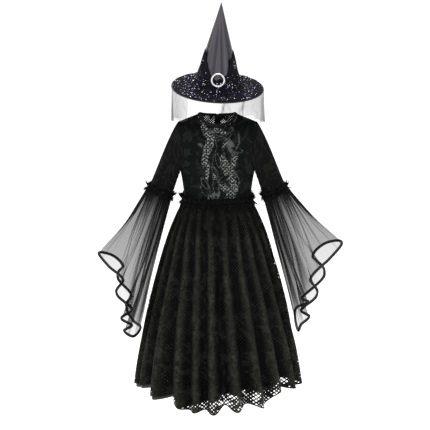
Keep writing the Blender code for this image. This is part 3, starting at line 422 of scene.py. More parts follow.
def satin_finish(name, colour, dark, roughness, streak=90.0, gloss=0.5):
    """Polyester satin: long floats give it a soft broad gloss. Faint streaks of painted sheen and shade run
    along its creases, and a painted shade attribute darkens it.
    """
    material, tree, shader = finish_of(name, Roughness=roughness)
    shader.inputs["Specular IOR Level"].default_value = gloss
    threads = add(tree, "ShaderNodeUVMap", uv_map="threads")
    # Streaks along the threads: painted sheen and shade, which also give the relief below
    stretched = add(tree, "ShaderNodeMapping", {"Vector": threads, "Scale": (streak, streak / 14, 1.0)})
    streaks = add(tree, "ShaderNodeTexNoise", {"Vector": stretched, "Scale": 1.0, "Detail": 3.0})
    colour = add(
        tree, "ShaderNodeMix", {0: streaks, 6: linear(dark), 7: linear(colour)}, out=2, data_type="RGBA"
    )
    # Painted shade: where it is painted on the piece, the colour darkens towards near black
    painted_shade = painted_on(tree, "painted_shade")
    painted_shade = add(tree, "ShaderNodeMath", {0: painted_shade, 1: 0.8}, operation="MULTIPLY", use_clamp=True)
    colour = add(
        tree, "ShaderNodeMix", {0: painted_shade, 6: colour, 7: linear("#0c0a0d")}, out=2, data_type="RGBA"
    )
    tree.links.new(colour, shader.inputs["Base Color"])
    weave = add(tree, "ShaderNodeMapping", {"Vector": threads, "Scale": (900.0, 2400.0, 1.0)})
    weave = add(tree, "ShaderNodeTexNoise", {"Vector": weave, "Scale": 1.0, "Detail": 1.0})
    height = maths(tree, "MULTIPLY_ADD", streaks, 2.0, weave)
    relief = add(tree, "ShaderNodeBump", {"Strength": 0.25, "Distance": 0.0004, "Height": height})
    tree.links.new(relief, shader.inputs["Normal"])
    return material


# The lace of the bodice front opens in a panel down the middle: plain holes, bands of lattice,
# leaves and scrolled cords. Places are millimetres from the middle and below the neckline.
Patch = namedtuple("Patch", "kind x down long wide turn")
BODICE_PANEL = (
    Patch("lattice", -38, 20, 34, 14, 62),
    Patch("lattice", -30, 62, 46, 17, 110),
    Patch("lattice", -42, 104, 34, 12, 100),
    Patch("lattice", 8, 14, 26, 9, 20),
    Patch("lattice", 30, 48, 30, 9, 118),
    Patch("lattice", 36, 148, 60, 19, 66),
    Patch("lattice", 58, 108, 34, 10, 100),
    Patch("lattice", 56, 196, 30, 15, 74),
    Patch("lattice", 44, 232, 26, 16, 90),
    Patch("lattice", -34, 150, 34, 7, 96),
    Patch("lattice", -10, 172, 18, 8, 80),
    Patch("lattice", 24, 208, 22, 12, 40),
    Patch("lattice", -20, 236, 26, 10, 120),
    Patch("bare", 47, 68, 27, 15, 68),
    Patch("bare", -6, 236, 24, 15, 115),
    Patch("bare", -18, 16, 12, 6, 40),
    Patch("bare", 62, 158, 12, 5, 60),
    Patch("bare", -58, 60, 9, 6, 30),
    Patch("leaf", 2, 112, 24, 9, 78),
    Patch("leaf", -8, 150, 22, 8, 60),
    Patch("leaf", 22, 174, 24, 9, 150),
    Patch("leaf", -6, 200, 26, 12, 85),
    Patch("leaf", -44, 192, 22, 9, 60),
    Patch("leaf", 66, 76, 20, 9, 20),
    Patch("leaf", 14, 34, 30, 7, 158),
    Patch("leaf", 40, 22, 22, 8, 120),
)
Cord = namedtuple("Cord", "width points")
BODICE_CORDS = (
    Cord(
        1.6,
        ((72, 24), (75, 50), (64, 74), (47, 100), (46, 124), (60, 156), (76, 182), (68, 214), (58, 244)),
    ),
    Cord(1.4, ((-26, 48), (-44, 70), (-52, 104), (-42, 126), (-30, 150), (-36, 184), (-24, 214), (-34, 246))),
    Cord(1.3, ((-8, 40), (-2, 70), (-14, 98), (-18, 128), (0, 160), (8, 184), (2, 214))),
    Cord(1.3, ((-4, 26), (18, 34), (38, 22), (56, 10))),
    Cord(1.3, ((-52, 186), (-60, 208), (-48, 230), (-30, 240))),
    Cord(1.2, ((24, 190), (40, 204), (34, 228), (20, 250))),
    Cord(1.2, ((20, 76), (26, 104), (20, 130), (34, 146))),
)


PATCH_SLIMNESS = 0.86


def painted_panel(x, down):
    """How far the lace opens to lattice and to bare holes here, and where a cord lies on it."""
    net, bare, cord = (np.zeros_like(x) for _ in range(3))
    for patch in BODICE_PANEL:
        turn = math.radians(patch.turn)
        along = (x - patch.x) * math.cos(turn) + (down - patch.down) * math.sin(turn)
        aside = -(x - patch.x) * math.sin(turn) + (down - patch.down) * math.cos(turn)
        size = np.hypot(along / patch.long, aside / (patch.wide * PATCH_SLIMNESS))
        inside = np.clip((1 - size) * patch.wide / 1.6 + 0.5, 0.0, 1.0)
        edge = np.clip(1.2 - np.abs(1 - size) * patch.wide / 1.3, 0.0, 1.0)
        if patch.kind == "lattice":
            net = np.maximum(net, inside)
        elif patch.kind == "bare":
            bare = np.maximum(bare, inside)
            cord = np.maximum(cord, edge * 0.8)
        else:
            net = net * (1 - inside)
            bare = bare * (1 - inside)
            cord = np.maximum(cord * (1 - inside), edge)
    for line in BODICE_CORDS:
        points = np.array(line.points, float)
        fine = np.linspace(0, len(points) - 1, 12 * len(points))
        path_x = np.interp(fine, np.arange(len(points)), points[:, 0])
        path_y = np.interp(fine, np.arange(len(points)), points[:, 1])
        kernel = np.ones(9) / 9
        path_x = np.convolve(np.pad(path_x, 4, mode="edge"), kernel, "valid")
        path_y = np.convolve(np.pad(path_y, 4, mode="edge"), kernel, "valid")
        nearest = np.full(x.shape, 1e9)
        for px, py in zip(path_x, path_y):
            nearest = np.minimum(nearest, np.hypot(x - px, down - py))
        cord = np.maximum(cord, np.clip(1.5 - nearest / line.width, 0.0, 1.0))
    return net, bare, cord


# Black polyester lace, corded: matt, its motif a hair lighter than its ground, with a painted highlight on
# the cord
bodice_lace = lace_finish("corded black lace", "#080909", "#1d2020", 1.0, 0.0090, holes=0.12)
back_lace = lace_finish("black lace of the back", "#080808", "#1f201c", 1.0, 0.0058, holes=0.42)
# The bodice lining is black satin, given a charcoal colour as painted sheen where it faces the light
lining_satin = satin_finish("black lining satin with painted sheen", "#4c5353", "#383d3d", 0.42, gloss=0.25)
skirt_satin = satin_finish("black polyester satin", "#1c1a1a", "#100f0f", 0.40, gloss=0.30)

LACE_OUT = 0.0002
shares = np.linspace(-1, 1, 131)
heights = np.linspace(0, 1, 141)
grid = bodice_surface(shares, heights, "front")
# Soft drags in the cloth from the armholes towards the chest, and above the waist
drag = np.zeros(grid.shape[:2])
Crease = namedtuple("Crease", "x down long wide turn deep")
for crease in (
    Crease(-98, 150, 46, 9, -38, 2.0),
    Crease(-92, 178, 40, 8, -20, 1.6),
    Crease(95, 148, 46, 9, 40, 1.9),
    Crease(90, 182, 38, 8, 18, 1.7),
    Crease(-60, 246, 34, 8, 70, 1.5),
    Crease(66, 240, 34, 9, 112, 1.6),
    Crease(-84, 60, 40, 10, 60, 1.4),
    Crease(86, 58, 42, 10, 118, 1.4),
    Crease(-96, 232, 36, 9, 80, 1.6),
    Crease(98, 228, 36, 9, 100, 1.6),
):
    turn = math.radians(crease.turn)
    dx = grid[:, :, 0] * 1000 - crease.x
    dz = -grid[:, :, 2] * 1000 - crease.down
    along = (dx * math.cos(turn) + dz * math.sin(turn)) / crease.long
    aside = (-dx * math.sin(turn) + dz * math.cos(turn)) / crease.wide
    ridge = crease.deep / 1000 * np.exp(-(along**2))
    drag += ridge * (1 - 2 * np.exp(-(aside**2) * 2)) * np.exp(-(aside**2) * 0.4)
fade = np.clip(np.minimum(heights, 1 - heights) * 9, 0, 1)[:, None] * np.clip((1 - np.abs(shares)) * 9, 0, 1)
front_grid = grid + out_of(grid) * (LACE_OUT + drag * fade)[:, :, None]
x_mm = front_grid[:, :, 0] * 1000
down_mm = -front_grid[:, :, 2] * 1000 - NECK_FRONT_DROP * 1000
net, bare, cord = painted_panel(x_mm, down_mm)
front_grid += out_of(front_grid) * (cord * 0.0003)[:, :, None]
bodice_front = cloth(
    "bodice_front_lace",
    front_grid,
    front_grid[:, :, 0],
    front_grid[:, :, 2],
    bodice_lace,
    painted={"net": net, "bare": bare, "cord": cord},
)
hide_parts("bodice_front")
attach(bodice_front, "costume")

LINING_IN, SATIN_THICKNESS = 0.0026, 0.0005
grid = bodice_surface(shares[::3] * 0.985, np.linspace(0.014, 1, 61), "front")
front_lining = cloth(
    "bodice_front_satin",
    grid - out_of(grid) * LINING_IN,
    grid[:, :, 0],
    grid[:, :, 2],
    lining_satin,
    thickness=SATIN_THICKNESS,
)
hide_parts("bodice_front_lining")
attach(front_lining, "costume")

for side_name, side in (("left", 1), ("right", -1)):
    shares = np.linspace(0.0, 1.0, 61) if side < 0 else np.linspace(1.0, 0.0, 61)
    shares = shares * side
    shares[shares == 0] = side * 1e-9
    grid = bodice_surface(shares, np.linspace(0, 1, 111), "back", ZIP_HALF)
    back = cloth(
        f"bodice_back_lace_{side_name}",
        grid + out_of(grid) * LACE_OUT,
        grid[:, :, 0],
        grid[:, :, 2],
        back_lace,
        painted={"net": np.zeros(grid.shape[:2]), "bare": np.zeros(grid.shape[:2])},
    )
    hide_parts(f"bodice_back_{side_name}")
    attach(back, "costume")
    grid = bodice_surface(shares[::2] * 0.985, np.linspace(0.27, 1, 45), "back", LINING_ZIP_HALF)
    lining = cloth(
        f"bodice_back_satin_{side_name}",
        grid - out_of(grid) * LINING_IN,
        grid[:, :, 0],
        grid[:, :, 2],
        lining_satin,
        thickness=SATIN_THICKNESS,
    )
    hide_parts(f"bodice_back_lining_{side_name}")
    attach(lining, "costume")

# The skirt. Flared panels of the same lace gathered on to the waist seam, over a satin lining
# that is cut with less width. Its folds run from the gathers to the hem and spread as they go.
SKIRT = (
    Section(0.306, 0.1170, 0.084, 0.0745),
    Section(0.330, 0.1290, 0.096, 0.088),
    Section(0.360, 0.1420, 0.109, 0.102),
    Section(0.400, 0.1585, 0.125, 0.119),
    Section(0.450, 0.1755, 0.143, 0.138),
    Section(0.530, 0.1990, 0.168, 0.164),
    Section(0.620, 0.2215, 0.194, 0.191),
    Section(0.720, 0.2440, 0.219, 0.217),
    Section(0.830, 0.2650, 0.242, 0.241),
    Section(0.920, 0.2790, 0.257, 0.257),
    Section(1.010, 0.2890, 0.268, 0.268),
)
# The crest of each fold: its angle at the waist and at the hem, and how far it stands out there
Fold = namedtuple("Fold", "waist hem reach")
FOLDS = (
    Fold(-176, -173, 0.016), Fold(-162, -160, 0.012), Fold(-149, -149, 0.018), Fold(-137, -136, 0.010),
    Fold(-125, -126, 0.015), Fold(-113, -114, 0.012), Fold(-101, -102, 0.017), Fold(-85, -84, 0.012),
    Fold(-66, -67, 0.013), Fold(-52, -49, 0.021), Fold(-39, -27, 0.018), Fold(-24, -14.5, 0.011),
    Fold(-9, -3, 0.016), Fold(5, 13, 0.019), Fold(19, 30, 0.018), Fold(33, 46, 0.016),
    Fold(47, 65, 0.017), Fold(64, 84, 0.018), Fold(84, 98, 0.012), Fold(104, 113, 0.015),
    Fold(120, 128, 0.016), Fold(136, 142, 0.011), Fold(152, 156, 0.015), Fold(168, 170, 0.012),
)
# How low the hem hangs, by its angle from the front
Hem = namedtuple("Hem", "angle lace satin")
HEM = (
    Hem(-180, 1.000, 0.976), Hem(-150, 0.990, 0.968), Hem(-120, 0.994, 0.975), Hem(-95, 0.972, 0.992),
    Hem(-80, 0.968, 0.984), Hem(-66, 0.950, 0.966), Hem(-57, 0.938, 0.956), Hem(-50, 0.965, 0.984),
    Hem(-42, 0.964, 0.978), Hem(-33, 0.950, 0.960), Hem(-28, 0.984, 0.993), Hem(-21, 1.000, 0.990),
    Hem(-15, 0.999, 0.975), Hem(-10, 0.989, 0.966), Hem(-4, 1.001, 0.966), Hem(1, 0.999, 0.958),
    Hem(4, 0.974, 0.944), Hem(7, 0.976, 0.940), Hem(12, 0.997, 0.942), Hem(18, 0.983, 0.936),
    Hem(24, 0.975, 0.932), Hem(32, 0.992, 0.940), Hem(38, 0.993, 0.938), Hem(43, 0.955, 0.925),
    Hem(53, 0.941, 0.915), Hem(62, 0.958, 0.925), Hem(80, 0.970, 0.940), Hem(92, 0.968, 0.945),
    Hem(120, 0.985, 0.962), Hem(150, 0.995, 0.972), Hem(180, 1.000, 0.976),
)
SLIT_DROP = 0.365


def folds_at(angle, share, sharp):
    """The height of the folds between -1 and 1 at these angles in degrees, and their reach."""
    height, reach = np.zeros((len(share), len(angle))), np.zeros((len(share), len(angle)))
    waist = np.array([fold.waist for fold in FOLDS], float)
    hem = np.array([fold.hem for fold in FOLDS], float)
    reaches = np.array([fold.reach for fold in FOLDS])
    for j, s in enumerate(share):
        crest = waist + (hem - waist) * s**0.75
        crest = np.concatenate([crest[-2:] - 360, crest, crest[:2] + 360])
        steps = np.interp(angle, crest, np.arange(len(crest)))
        t = steps - np.floor(steps)
        height[j] = 1 - 2 * np.abs(np.sin(math.pi * t)) ** sharp
        around_reach = np.concatenate([reaches[-2:], reaches, reaches[:2]])
        reach[j] = np.interp(steps, np.arange(len(crest)), around_reach)
    return height, reach


def skirt_surface(degrees, share, hem, inset=0.0, fold_share=1.0):
    """Points of the skirt at these angles, and shares of the way from the waist to the hem."""
    near = [
        np.interp((degrees + turn + 180) % 360 - 180, [h.angle for h in HEM], [getattr(h, hem) for h in HEM])
        for turn in (-2.4, -1.2, 0.0, 1.2, 2.4)
    ]
    hem_drop = sum(near) / len(near)
    drop = WAIST_DROP + share[:, None] * (hem_drop - WAIST_DROP)
    below = (drop - WAIST_DROP) / 0.694
    angle = np.radians(degrees)
    squareness = BODY_SQUARENESS + (2.0 - BODY_SQUARENESS) * ease(below * 3)
    half_width = smooth(SKIRT, "half_width", drop)
    depth = np.where(np.cos(angle) > 0, smooth(SKIRT, "front", drop), smooth(SKIRT, "back", drop))
    x = np.sign(np.sin(angle)) * np.abs(np.sin(angle)) ** (2 / squareness) * half_width
    y = -np.sign(np.cos(angle)) * np.abs(np.cos(angle)) ** (2 / squareness) * depth
    height, reach = folds_at(degrees, share, 2.2)
    swing = height * (0.0028 * ease(below * 14) + reach * np.maximum(below, 0) ** 1.05) * fold_share
    # Fine gathers at the seam, which open out within a hand's breadth
    fine = np.sin(angle * 61 + 2.0 * np.sin(angle * 5)) * 0.0016 * ease(below * 30)
    fine = fine * np.maximum(1 - below / 0.32, 0) * fold_share
    # Shallow side creases between the folds, uneven down the cloth
    slow = np.sin(angle * 37 + 7 * below + 1.3 * np.sin(angle * 9)) * 0.0016
    slow = slow * np.sin(math.pi * np.clip(below, 0, 1))
    from_zip = math.pi - np.abs((angle + math.pi) % (2 * math.pi) - math.pi)
    calm = ease(from_zip / math.radians(9))
    calm = np.where(drop < SLIT_DROP + 0.05, calm, 1.0)
    swing = (swing + fine + slow * fold_share) * calm - inset
    length = np.maximum(np.hypot(x, y), 1e-9)
    return np.stack([x * (1 + swing / length), y * (1 + swing / length), -drop], axis=2)


def shut_at_zip(grid, panel, open_half):
    """Brings a back panel's inner edge to the zip above the slit's end and to the seam below it."""
    if panel == "front":
        return
    edge, side = (-1, 1) if panel == "back_left" else (0, -1)
    shut = grid[:, edge, 2] < -SLIT_DROP
    grid[:, edge, 0] = np.where(shut, SEAM / 2, open_half) * side


skirt_lace = lace_finish(
    "black flower lace", "#040404", "#32322b", 0.30, 0.0090, tile=(0.096, 0.128), holes=0.95
)
SKIRT_PANELS = (
    ("front", -90.0, 90.0, 331),
    ("back_left", 90.0, 180.0, 166),
    ("back_right", -180.0, -90.0, 166),
)
HEM_TURN = 0.30
# Each panel is flared
down_shares = np.linspace(0, 1, 176)
for panel, first, last, columns in SKIRT_PANELS:
    degrees = np.linspace(first, last, columns)
    grid = skirt_surface(degrees, down_shares, "lace")
    shut_at_zip(grid, panel, ZIP_HALF)
    drop = -grid[:, :, 2]
    height, _ = folds_at(degrees, down_shares, 2.2)
    # Painted light on the folds: lighter on their crests and dark in their hollows, weak at the waist, with
    # the thread colour as the painted highlight
    crest = np.clip(0.5 * height + 0.42, 0.0, 1.0) ** 2.2 * (0.10 + 0.75 * ease(down_shares * 4))[:, None]
    # The hem's raw edge is rolled to the inside in a tight black line
    rolled = np.clip((down_shares[:, None] - 0.990) / 0.003, 0.0, 1.0) * np.ones_like(drop)
    skirt = cloth(
        f"skirt_lace_{panel}",
        grid,
        np.radians(degrees)[None, :] * HEM_TURN + np.zeros_like(drop),
        drop,
        skirt_lace,
        painted={"crest": crest, "rolled": rolled},
    )
    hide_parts(f"skirt_{panel}")
    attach(skirt, "costume")
    # A panel's cut is as wide as its hem is long
    degrees = np.linspace(first, last, columns // 2)
    grid = skirt_surface(degrees, down_shares[::2], "satin", inset=0.0034, fold_share=0.9)
    inner = 0.0035 * ease(down_shares[::2] * 8)[:, None, None]
    grid = grid - out_of(grid) * inner
    shut_at_zip(grid, panel, LINING_ZIP_HALF)
    lining = cloth(
        f"skirt_satin_{panel}",
        grid,
        np.radians(degrees)[None, :] * HEM_TURN + np.zeros(grid.shape[:2]),
        -grid[:, :, 2],
        skirt_satin,
        thickness=SATIN_THICKNESS,
    )
    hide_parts(f"skirt_lining_{panel}")
    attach(lining, "costume")

# The sleeves. Lace set into the armholes and drawn straight down the arm to the elbow.
ELBOW_OUT, ELBOW_DROP = 0.1995, 0.278
ELBOW_REACH_OUT, ELBOW_REACH_UP, ELBOW_DEPTH = 0.0395, 0.0160, 0.0370
ARM_AXIS = np.array([0.369, 0.0, 0.929])
ARMHOLE_TUCK, SLEEVE_CAP = 0.0025, 0.005


def elbow_points(turn, grow=0.0, along=0.0):
    """Out, forward and drop on the elbow ring, from its outer side round the front."""
    stretch = 1 + grow / math.hypot(ELBOW_REACH_OUT, ELBOW_REACH_UP)
    out = ELBOW_OUT + np.cos(turn) * ELBOW_REACH_OUT * stretch + ARM_AXIS[0] * along
    drop = ELBOW_DROP - np.cos(turn) * ELBOW_REACH_UP * stretch + ARM_AXIS[2] * along
    return np.stack(np.broadcast_arrays(out, np.sin(turn) * (ELBOW_DEPTH + grow), drop), axis=-1)


def on_side(points, side):
    """Out, forward and drop as x, y and z on this side, in the order that faces the cloth out."""
    placed = points * (side, -1.0, -1.0)
    return placed if side < 0 else placed[:, ::-1]


sleeve_lace = lace_finish(
    "black sleeve lace", "#070807", "#1d1f1c", 0.7, 0.0075, tile=(0.078, 0.104), holes=0.05
)
for side_name, side in (("left", 1), ("right", -1)):
    reach = ARMHOLE[-1].fraction
    turns = np.linspace(0, 2 * math.pi, 96, endpoint=False)
    fractions = reach * (1 - np.abs(turns / math.pi - 1))
    front = bodice_surface(np.array([1.0]), fractions, "front")[:, 0]
    back = bodice_surface(np.array([1.0]), fractions, "back")[:, 0]
    start = np.where((turns < math.pi)[:, None], front, back)
    start = np.stack([start[:, 0] - ARMHOLE_TUCK, -start[:, 1], -start[:, 2]], axis=1)
    end = elbow_points(turns)
    down = np.linspace(0, 1, 90)[:, None]
    bulge = SLEEVE_CAP * np.sin(math.pi * np.sqrt(down)) * np.maximum(np.cos(turns), 0.0)
    points = start + down[:, :, None] * (end - start)
    points[:, :, 0] += bulge
    points[:, :, 2] -= bulge * 0.4
    # Cross drags at the bend of the arm and long soft folds under it
    inner = np.maximum(-np.cos(turns), 0.0)
    drags = np.sin(down * 44 + 3 * np.sin(turns * 2)) * 0.0011 * inner * np.sin(math.pi * down)
    drags = drags + np.sin(turns * 7 + down * 5) * 0.0007 * np.sin(math.pi * down)
    grid = on_side(points, side)
    grid = grid + out_of(grid, True) * (drags if side < 0 else drags[:, ::-1])[:, :, None]
    around_arm = np.arange(97) / 96 * 0.27
    sleeve = cloth(
        f"sleeve_lace_{side_name}",
        grid,
        around_arm[None, :] + np.zeros((90, 1)),
        down * 0.26 + np.zeros((1, 97)),
        sleeve_lace,
        ring=True,
    )
    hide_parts(f"sleeve_{side_name}")
    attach(sleeve, "costume")

# The flounces. Each is a wide circle-cut tube of soft black tulle, gathered on to the elbow. Its
# hem falls in deep loops, longest at the inner side, and is bound with black satin tape.
HemFold = namedtuple("HemFold", "out forward drop")
FLOUNCE_HEM = {
    "right": (
        HemFold(0.4206, 0.000, 0.5034), HemFold(0.3850, 0.036, 0.5421), HemFold(0.3340, 0.050, 0.5880),
        HemFold(0.3550, 0.070, 0.6349), HemFold(0.3020, 0.080, 0.6870), HemFold(0.3360, 0.101, 0.7150),
        HemFold(0.3000, 0.110, 0.7370), HemFold(0.3251, 0.130, 0.7520), HemFold(0.2930, 0.123, 0.7730),
        HemFold(0.2750, 0.000, 0.7770), HemFold(0.3056, -0.122, 0.7897), HemFold(0.3340, -0.118, 0.7420),
        HemFold(0.3160, -0.102, 0.6824), HemFold(0.3620, -0.080, 0.6150), HemFold(0.3416, -0.058, 0.5650),
        HemFold(0.3740, -0.044, 0.5239),
    ),
    "left": (
        HemFold(0.4395, 0.000, 0.4726), HemFold(0.3960, 0.036, 0.5150), HemFold(0.3296, 0.056, 0.5800),
        HemFold(0.3500, 0.073, 0.6380), HemFold(0.2950, 0.084, 0.6880), HemFold(0.3200, 0.103, 0.7080),
        HemFold(0.2940, 0.114, 0.7320), HemFold(0.2850, 0.072, 0.7670), HemFold(0.2820, -0.070, 0.7705),
        HemFold(0.2880, -0.116, 0.7375), HemFold(0.3300, -0.111, 0.7150), HemFold(0.3110, -0.092, 0.6900),
        HemFold(0.3890, -0.081, 0.6030), HemFold(0.3440, -0.054, 0.5310), HemFold(0.3760, -0.041, 0.4830),
        HemFold(0.4260, -0.022, 0.4636),
    ),
}
LOW_FOLD = {"right": 9, "left": 7.5}
STEPS = 24


def hem_curve(side_name):
    """Points on a smooth closed curve through the flounce's hem folds."""
    folds = np.array(FLOUNCE_HEM[side_name])
    before, after, beyond = (np.roll(folds, n, axis=0)[:, None] for n in (1, -1, -2))
    here, t = folds[:, None], np.arange(STEPS)[None, :, None] / STEPS
    curve = 2 * here + (after - before) * t + (2 * before - 5 * here + 4 * after - beyond) * t**2
    return ((curve + (3 * here - before - 3 * after + beyond) * t**3) / 2).reshape(-1, 3)


def blurred(curve, reach):
    """The closed curve with its points averaged over this many neighbours each way."""
    return sum(np.roll(curve, n, axis=0) for n in range(-reach, reach + 1)) / (2 * reach + 1)


def tulle_finish(name, colour, layer):
    """Soft nylon tulle: a hexagon net far too fine to draw, so it shows as an even dark veil, with
    darker lines where the gathers fold it on itself."""
    material, tree, shader = finish_of(name, Base_Color=linear(colour), Roughness=0.8)
    shader.inputs["Specular IOR Level"].default_value = 0.1
    threads = add(tree, "ShaderNodeUVMap", uv_map="threads")
    folded = painted_on(tree, "folded")
    mesh_place = add(tree, "ShaderNodeMapping", {"Vector": threads, "Scale": (420.0, 420.0, 1.0)})
    net = add(tree, "ShaderNodeTexVoronoi", {"Vector": mesh_place, "Scale": 1.0}, feature="DISTANCE_TO_EDGE")
    net = add(tree, "ShaderNodeMapRange", {0: net, 1: 0.0, 2: 0.5, 3: 1.18, 4: 0.9}, clamp=True)
    cover = maths(tree, "MULTIPLY", net, layer)
    # Each further layer lets through the same share of what the one before let through
    seen = maths(tree, "SUBTRACT", 1.0, cover)
    layers = maths(tree, "ADD", folded, 1.0)
    seen = maths(tree, "POWER", seen, layers)
    cover = add(tree, "ShaderNodeMath", {0: 1.0, 1: seen}, operation="SUBTRACT", use_clamp=True)
    tree.links.new(cover, shader.inputs["Alpha"])
    return material


tulle = tulle_finish("soft black tulle", "#131312", 0.40)
# The binding is satin tape folded over the raw edge and stitched: rounded, with a dull gloss
binding_satin = satin_finish("black satin binding tape", "#0d0d0d", "#060606", 0.45, streak=160.0, gloss=0.3)
BINDING_HALF, BINDING_THICK = 0.0052, 0.0048
GATHERS = 62
for side_name, side in (("left", 1), ("right", -1)):
    hem = hem_curve(side_name)
    count = len(hem)
    low = LOW_FOLD[side_name] * STEPS
    k = np.arange(count)
    turns = np.where(k <= low, math.pi * k / low, math.pi * (1 + (k - low) / (count - low)))
    top = elbow_points(turns, along=0.0006)
    swell = np.stack([np.cos(turns) * ARM_AXIS[2], np.sin(turns), -np.cos(turns) * ARM_AXIS[0]], axis=1)
    s = np.linspace(0, 1, 72)[:, None, None]
    unfolded = blurred(hem, 4 * STEPS // 3)
    end = unfolded + (hem - unfolded) * ease((s - 0.30) / 0.64)
    points = top + s * (end - top)
    # Gathers of uneven depth: some die out near the elbow, some run down as long folds
    phase = GATHERS * turns + 1.7 * np.sin(5 * turns + 1.0) + 0.9 * np.sin(11 * turns)
    depth = 0.0030 + 0.0014 * np.sin(3 * turns + 0.6) + 0.0010 * np.sin(8 * turns)
    long_runs = np.clip(0.42 + 0.35 * np.sin(7 * turns + 2.0) + 0.25 * np.sin(13 * turns), 0.12, 1.0)
    s2 = s[:, :, 0]
    life = np.exp(-((s2 / (0.75 * long_runs)) ** 2)) * (1 - s2) ** 0.5 * ease(s2 * 30)
    wave = np.sin(phase) * depth * life * 1.2
    deep = np.sin(phase / 3 + 0.5) * 0.0045 * np.sin(math.pi * np.clip(s2 * 1.15, 0, 1)) ** 2 * (1 - s2)
    points = points + swell * (wave + deep)[:, :, None]
    # The tulle darkens where its folds lie over each other, most at the elbow and the inner side
    ridge = np.clip(-np.cos(phase + 0.6), 0, 1) ** 3
    line = np.clip(np.sin(phase / 2 + 1.1), 0, 1) ** 6 * np.exp(-((s2 / (1.1 * long_runs)) ** 2))
    crowd = np.exp(-s2 / 0.10) * 2.6 + np.exp(-s2 / 0.30) * 0.5
    inner = np.clip(-np.cos(turns) * 0.9 + 0.35, 0, 1) * (1 - s2**3) * 1.3
    inner_half = ease(0.45 - np.cos(turns) * 1.1)
    stripe = np.clip(np.sin(phase / 4 + 0.8) * 1.3, 0, 1) ** 2 * inner_half * (1 - s2**4) * 3.6
    stripe = stripe + np.clip(np.sin(phase / 2.0 + 2.0), 0, 1) ** 4 * inner_half * (1 - s2**2) * 2.0
    folded = ridge * life * 3.4 + line * 3.4 + crowd + inner * 0.45 + stripe
    grid = on_side(points, side)
    folded = folded if side < 0 else folded[:, ::-1]
    lengths = np.linalg.norm(np.diff(np.vstack([hem, hem[:1]]), axis=0), axis=1)
    along_hem = np.concatenate([[0.0], np.cumsum(lengths)])
    fall = np.linalg.norm(hem - top, axis=1)
    fall = np.concatenate([fall, fall[:1]])
    flounce = cloth(
        f"flounce_tulle_{side_name}",
        grid,
        along_hem[None, :] + np.zeros((72, 1)),
        np.linspace(0, 1, 72)[:, None] * fall[None, :],
        tulle,
        ring=True,
        painted={"folded": folded},
    )
    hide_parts(f"flounce_{side_name}")
    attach(flounce, "costume")
    # The tape round the hem, drawn as a flattened roll along the cloth's edge
    up = top - hem
    up = up / np.linalg.norm(up, axis=1, keepdims=True)
    run = np.roll(hem, -1, axis=0) - np.roll(hem, 1, axis=0)
    run = run / np.linalg.norm(run, axis=1, keepdims=True)
    up = up - run * (up * run).sum(axis=1, keepdims=True)
    up = up / np.maximum(np.linalg.norm(up, axis=1, keepdims=True), 1e-9)
    up = blurred(up, 3)
    up = up / np.linalg.norm(up, axis=1, keepdims=True)
    flat = np.cross(run, up)
    tube = []
    for n in range(10):
        angle = 2 * math.pi * n / 10
        tube.append(
            hem
            + up * (BINDING_HALF + math.cos(angle) * BINDING_HALF)
            + flat * math.sin(angle) * BINDING_THICK
        )
    tube = np.array(tube).transpose(1, 0, 2) * (side, -1.0, -1.0)
    if side > 0:
        tube = tube[:, ::-1]
    binding = cloth(
        f"flounce_binding_tape_{side_name}",
        np.concatenate([tube, tube[:1]]),
        np.arange(11)[None, :] / 10 * 0.022 + np.zeros((count + 1, 1)),
        along_hem[:, None] + np.zeros((1, 11)),
        binding_satin,
        ring=True,
    )
    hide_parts(f"flounce_binding_{side_name}")
    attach(binding, "costume")

# The frilled trims over the waist and elbow seams: strips of pinked lace edging, gathered along
# the middle so that both their cut edges stand up in points.
trim_lace = lace_finish("black frilled edging", "#080808", "#1c1c1b", 1.0, 0.004, holes=0.1)


def frill(name, ring_points, out, up, size, seed, node):
    """Pointed tongues of cloth all along a ring, above and below it, over a gathered band."""
    random = np.random.default_rng(seed)
    count = len(ring_points)
    points, faces, flat = [], [], []
    along = np.roll(ring_points, -1, axis=0) - np.roll(ring_points, 1, axis=0)
    along = along / np.linalg.norm(along, axis=1, keepdims=True)
    for k in range(count):
        for way in (-1.0, 1.0):
            for _ in range(2):
                long = size * random.uniform(0.7, 1.5)
                wide = size * random.uniform(0.22, 0.40)
                lean = random.uniform(-0.5, 0.5)
                stand = random.uniform(0.15, 0.95)
                base = ring_points[k] + along[k] * random.uniform(-0.5, 0.5) * 0.006
                tilt = (up[k] * way + out[k] * stand + along[k] * lean)
                tilt = tilt / np.linalg.norm(tilt)
                width = np.cross(tilt, out[k])
                width = width / max(np.linalg.norm(width), 1e-9)
                curl = out[k] * random.uniform(-0.25, 0.35) * long
                start = len(points)
                for j, (s, w) in enumerate(((0.0, 0.7), (0.35, 1.0), (0.7, 0.7), (1.0, 0.08))):
                    spine = base + tilt * long * s + curl * s * s
                    cup = out[k] * 0.25 * wide * w
                    for m in (-1, 0, 1):
                        points.append(spine + width * wide * w * m + (cup if m == 0 else 0))
                        flat.append((m * 0.003 + k * 0.006, s * 0.01))
                for j in range(3):
                    for m in range(2):
                        a = start + 3 * j + m
                        faces.append((a, a + 3, a + 4, a + 1))
    mesh = bpy.data.meshes.new(name)
    mesh.from_pydata([tuple(p) for p in points], [], faces)
    laid = mesh.uv_layers.new(name="threads")
    for loop in mesh.loops:
        laid.data[loop.index].uv = flat[loop.vertex_index]
    mesh.materials.append(trim_lace)
    mesh.shade_smooth()
    piece = bpy.data.objects.new(name, mesh)
    scene.collection.objects.link(piece)
    solidify = piece.modifiers.new("cloth thickness", "SOLIDIFY")
    solidify.thickness = 0.0004
    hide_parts(node)
    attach(piece, "costume")
    return piece


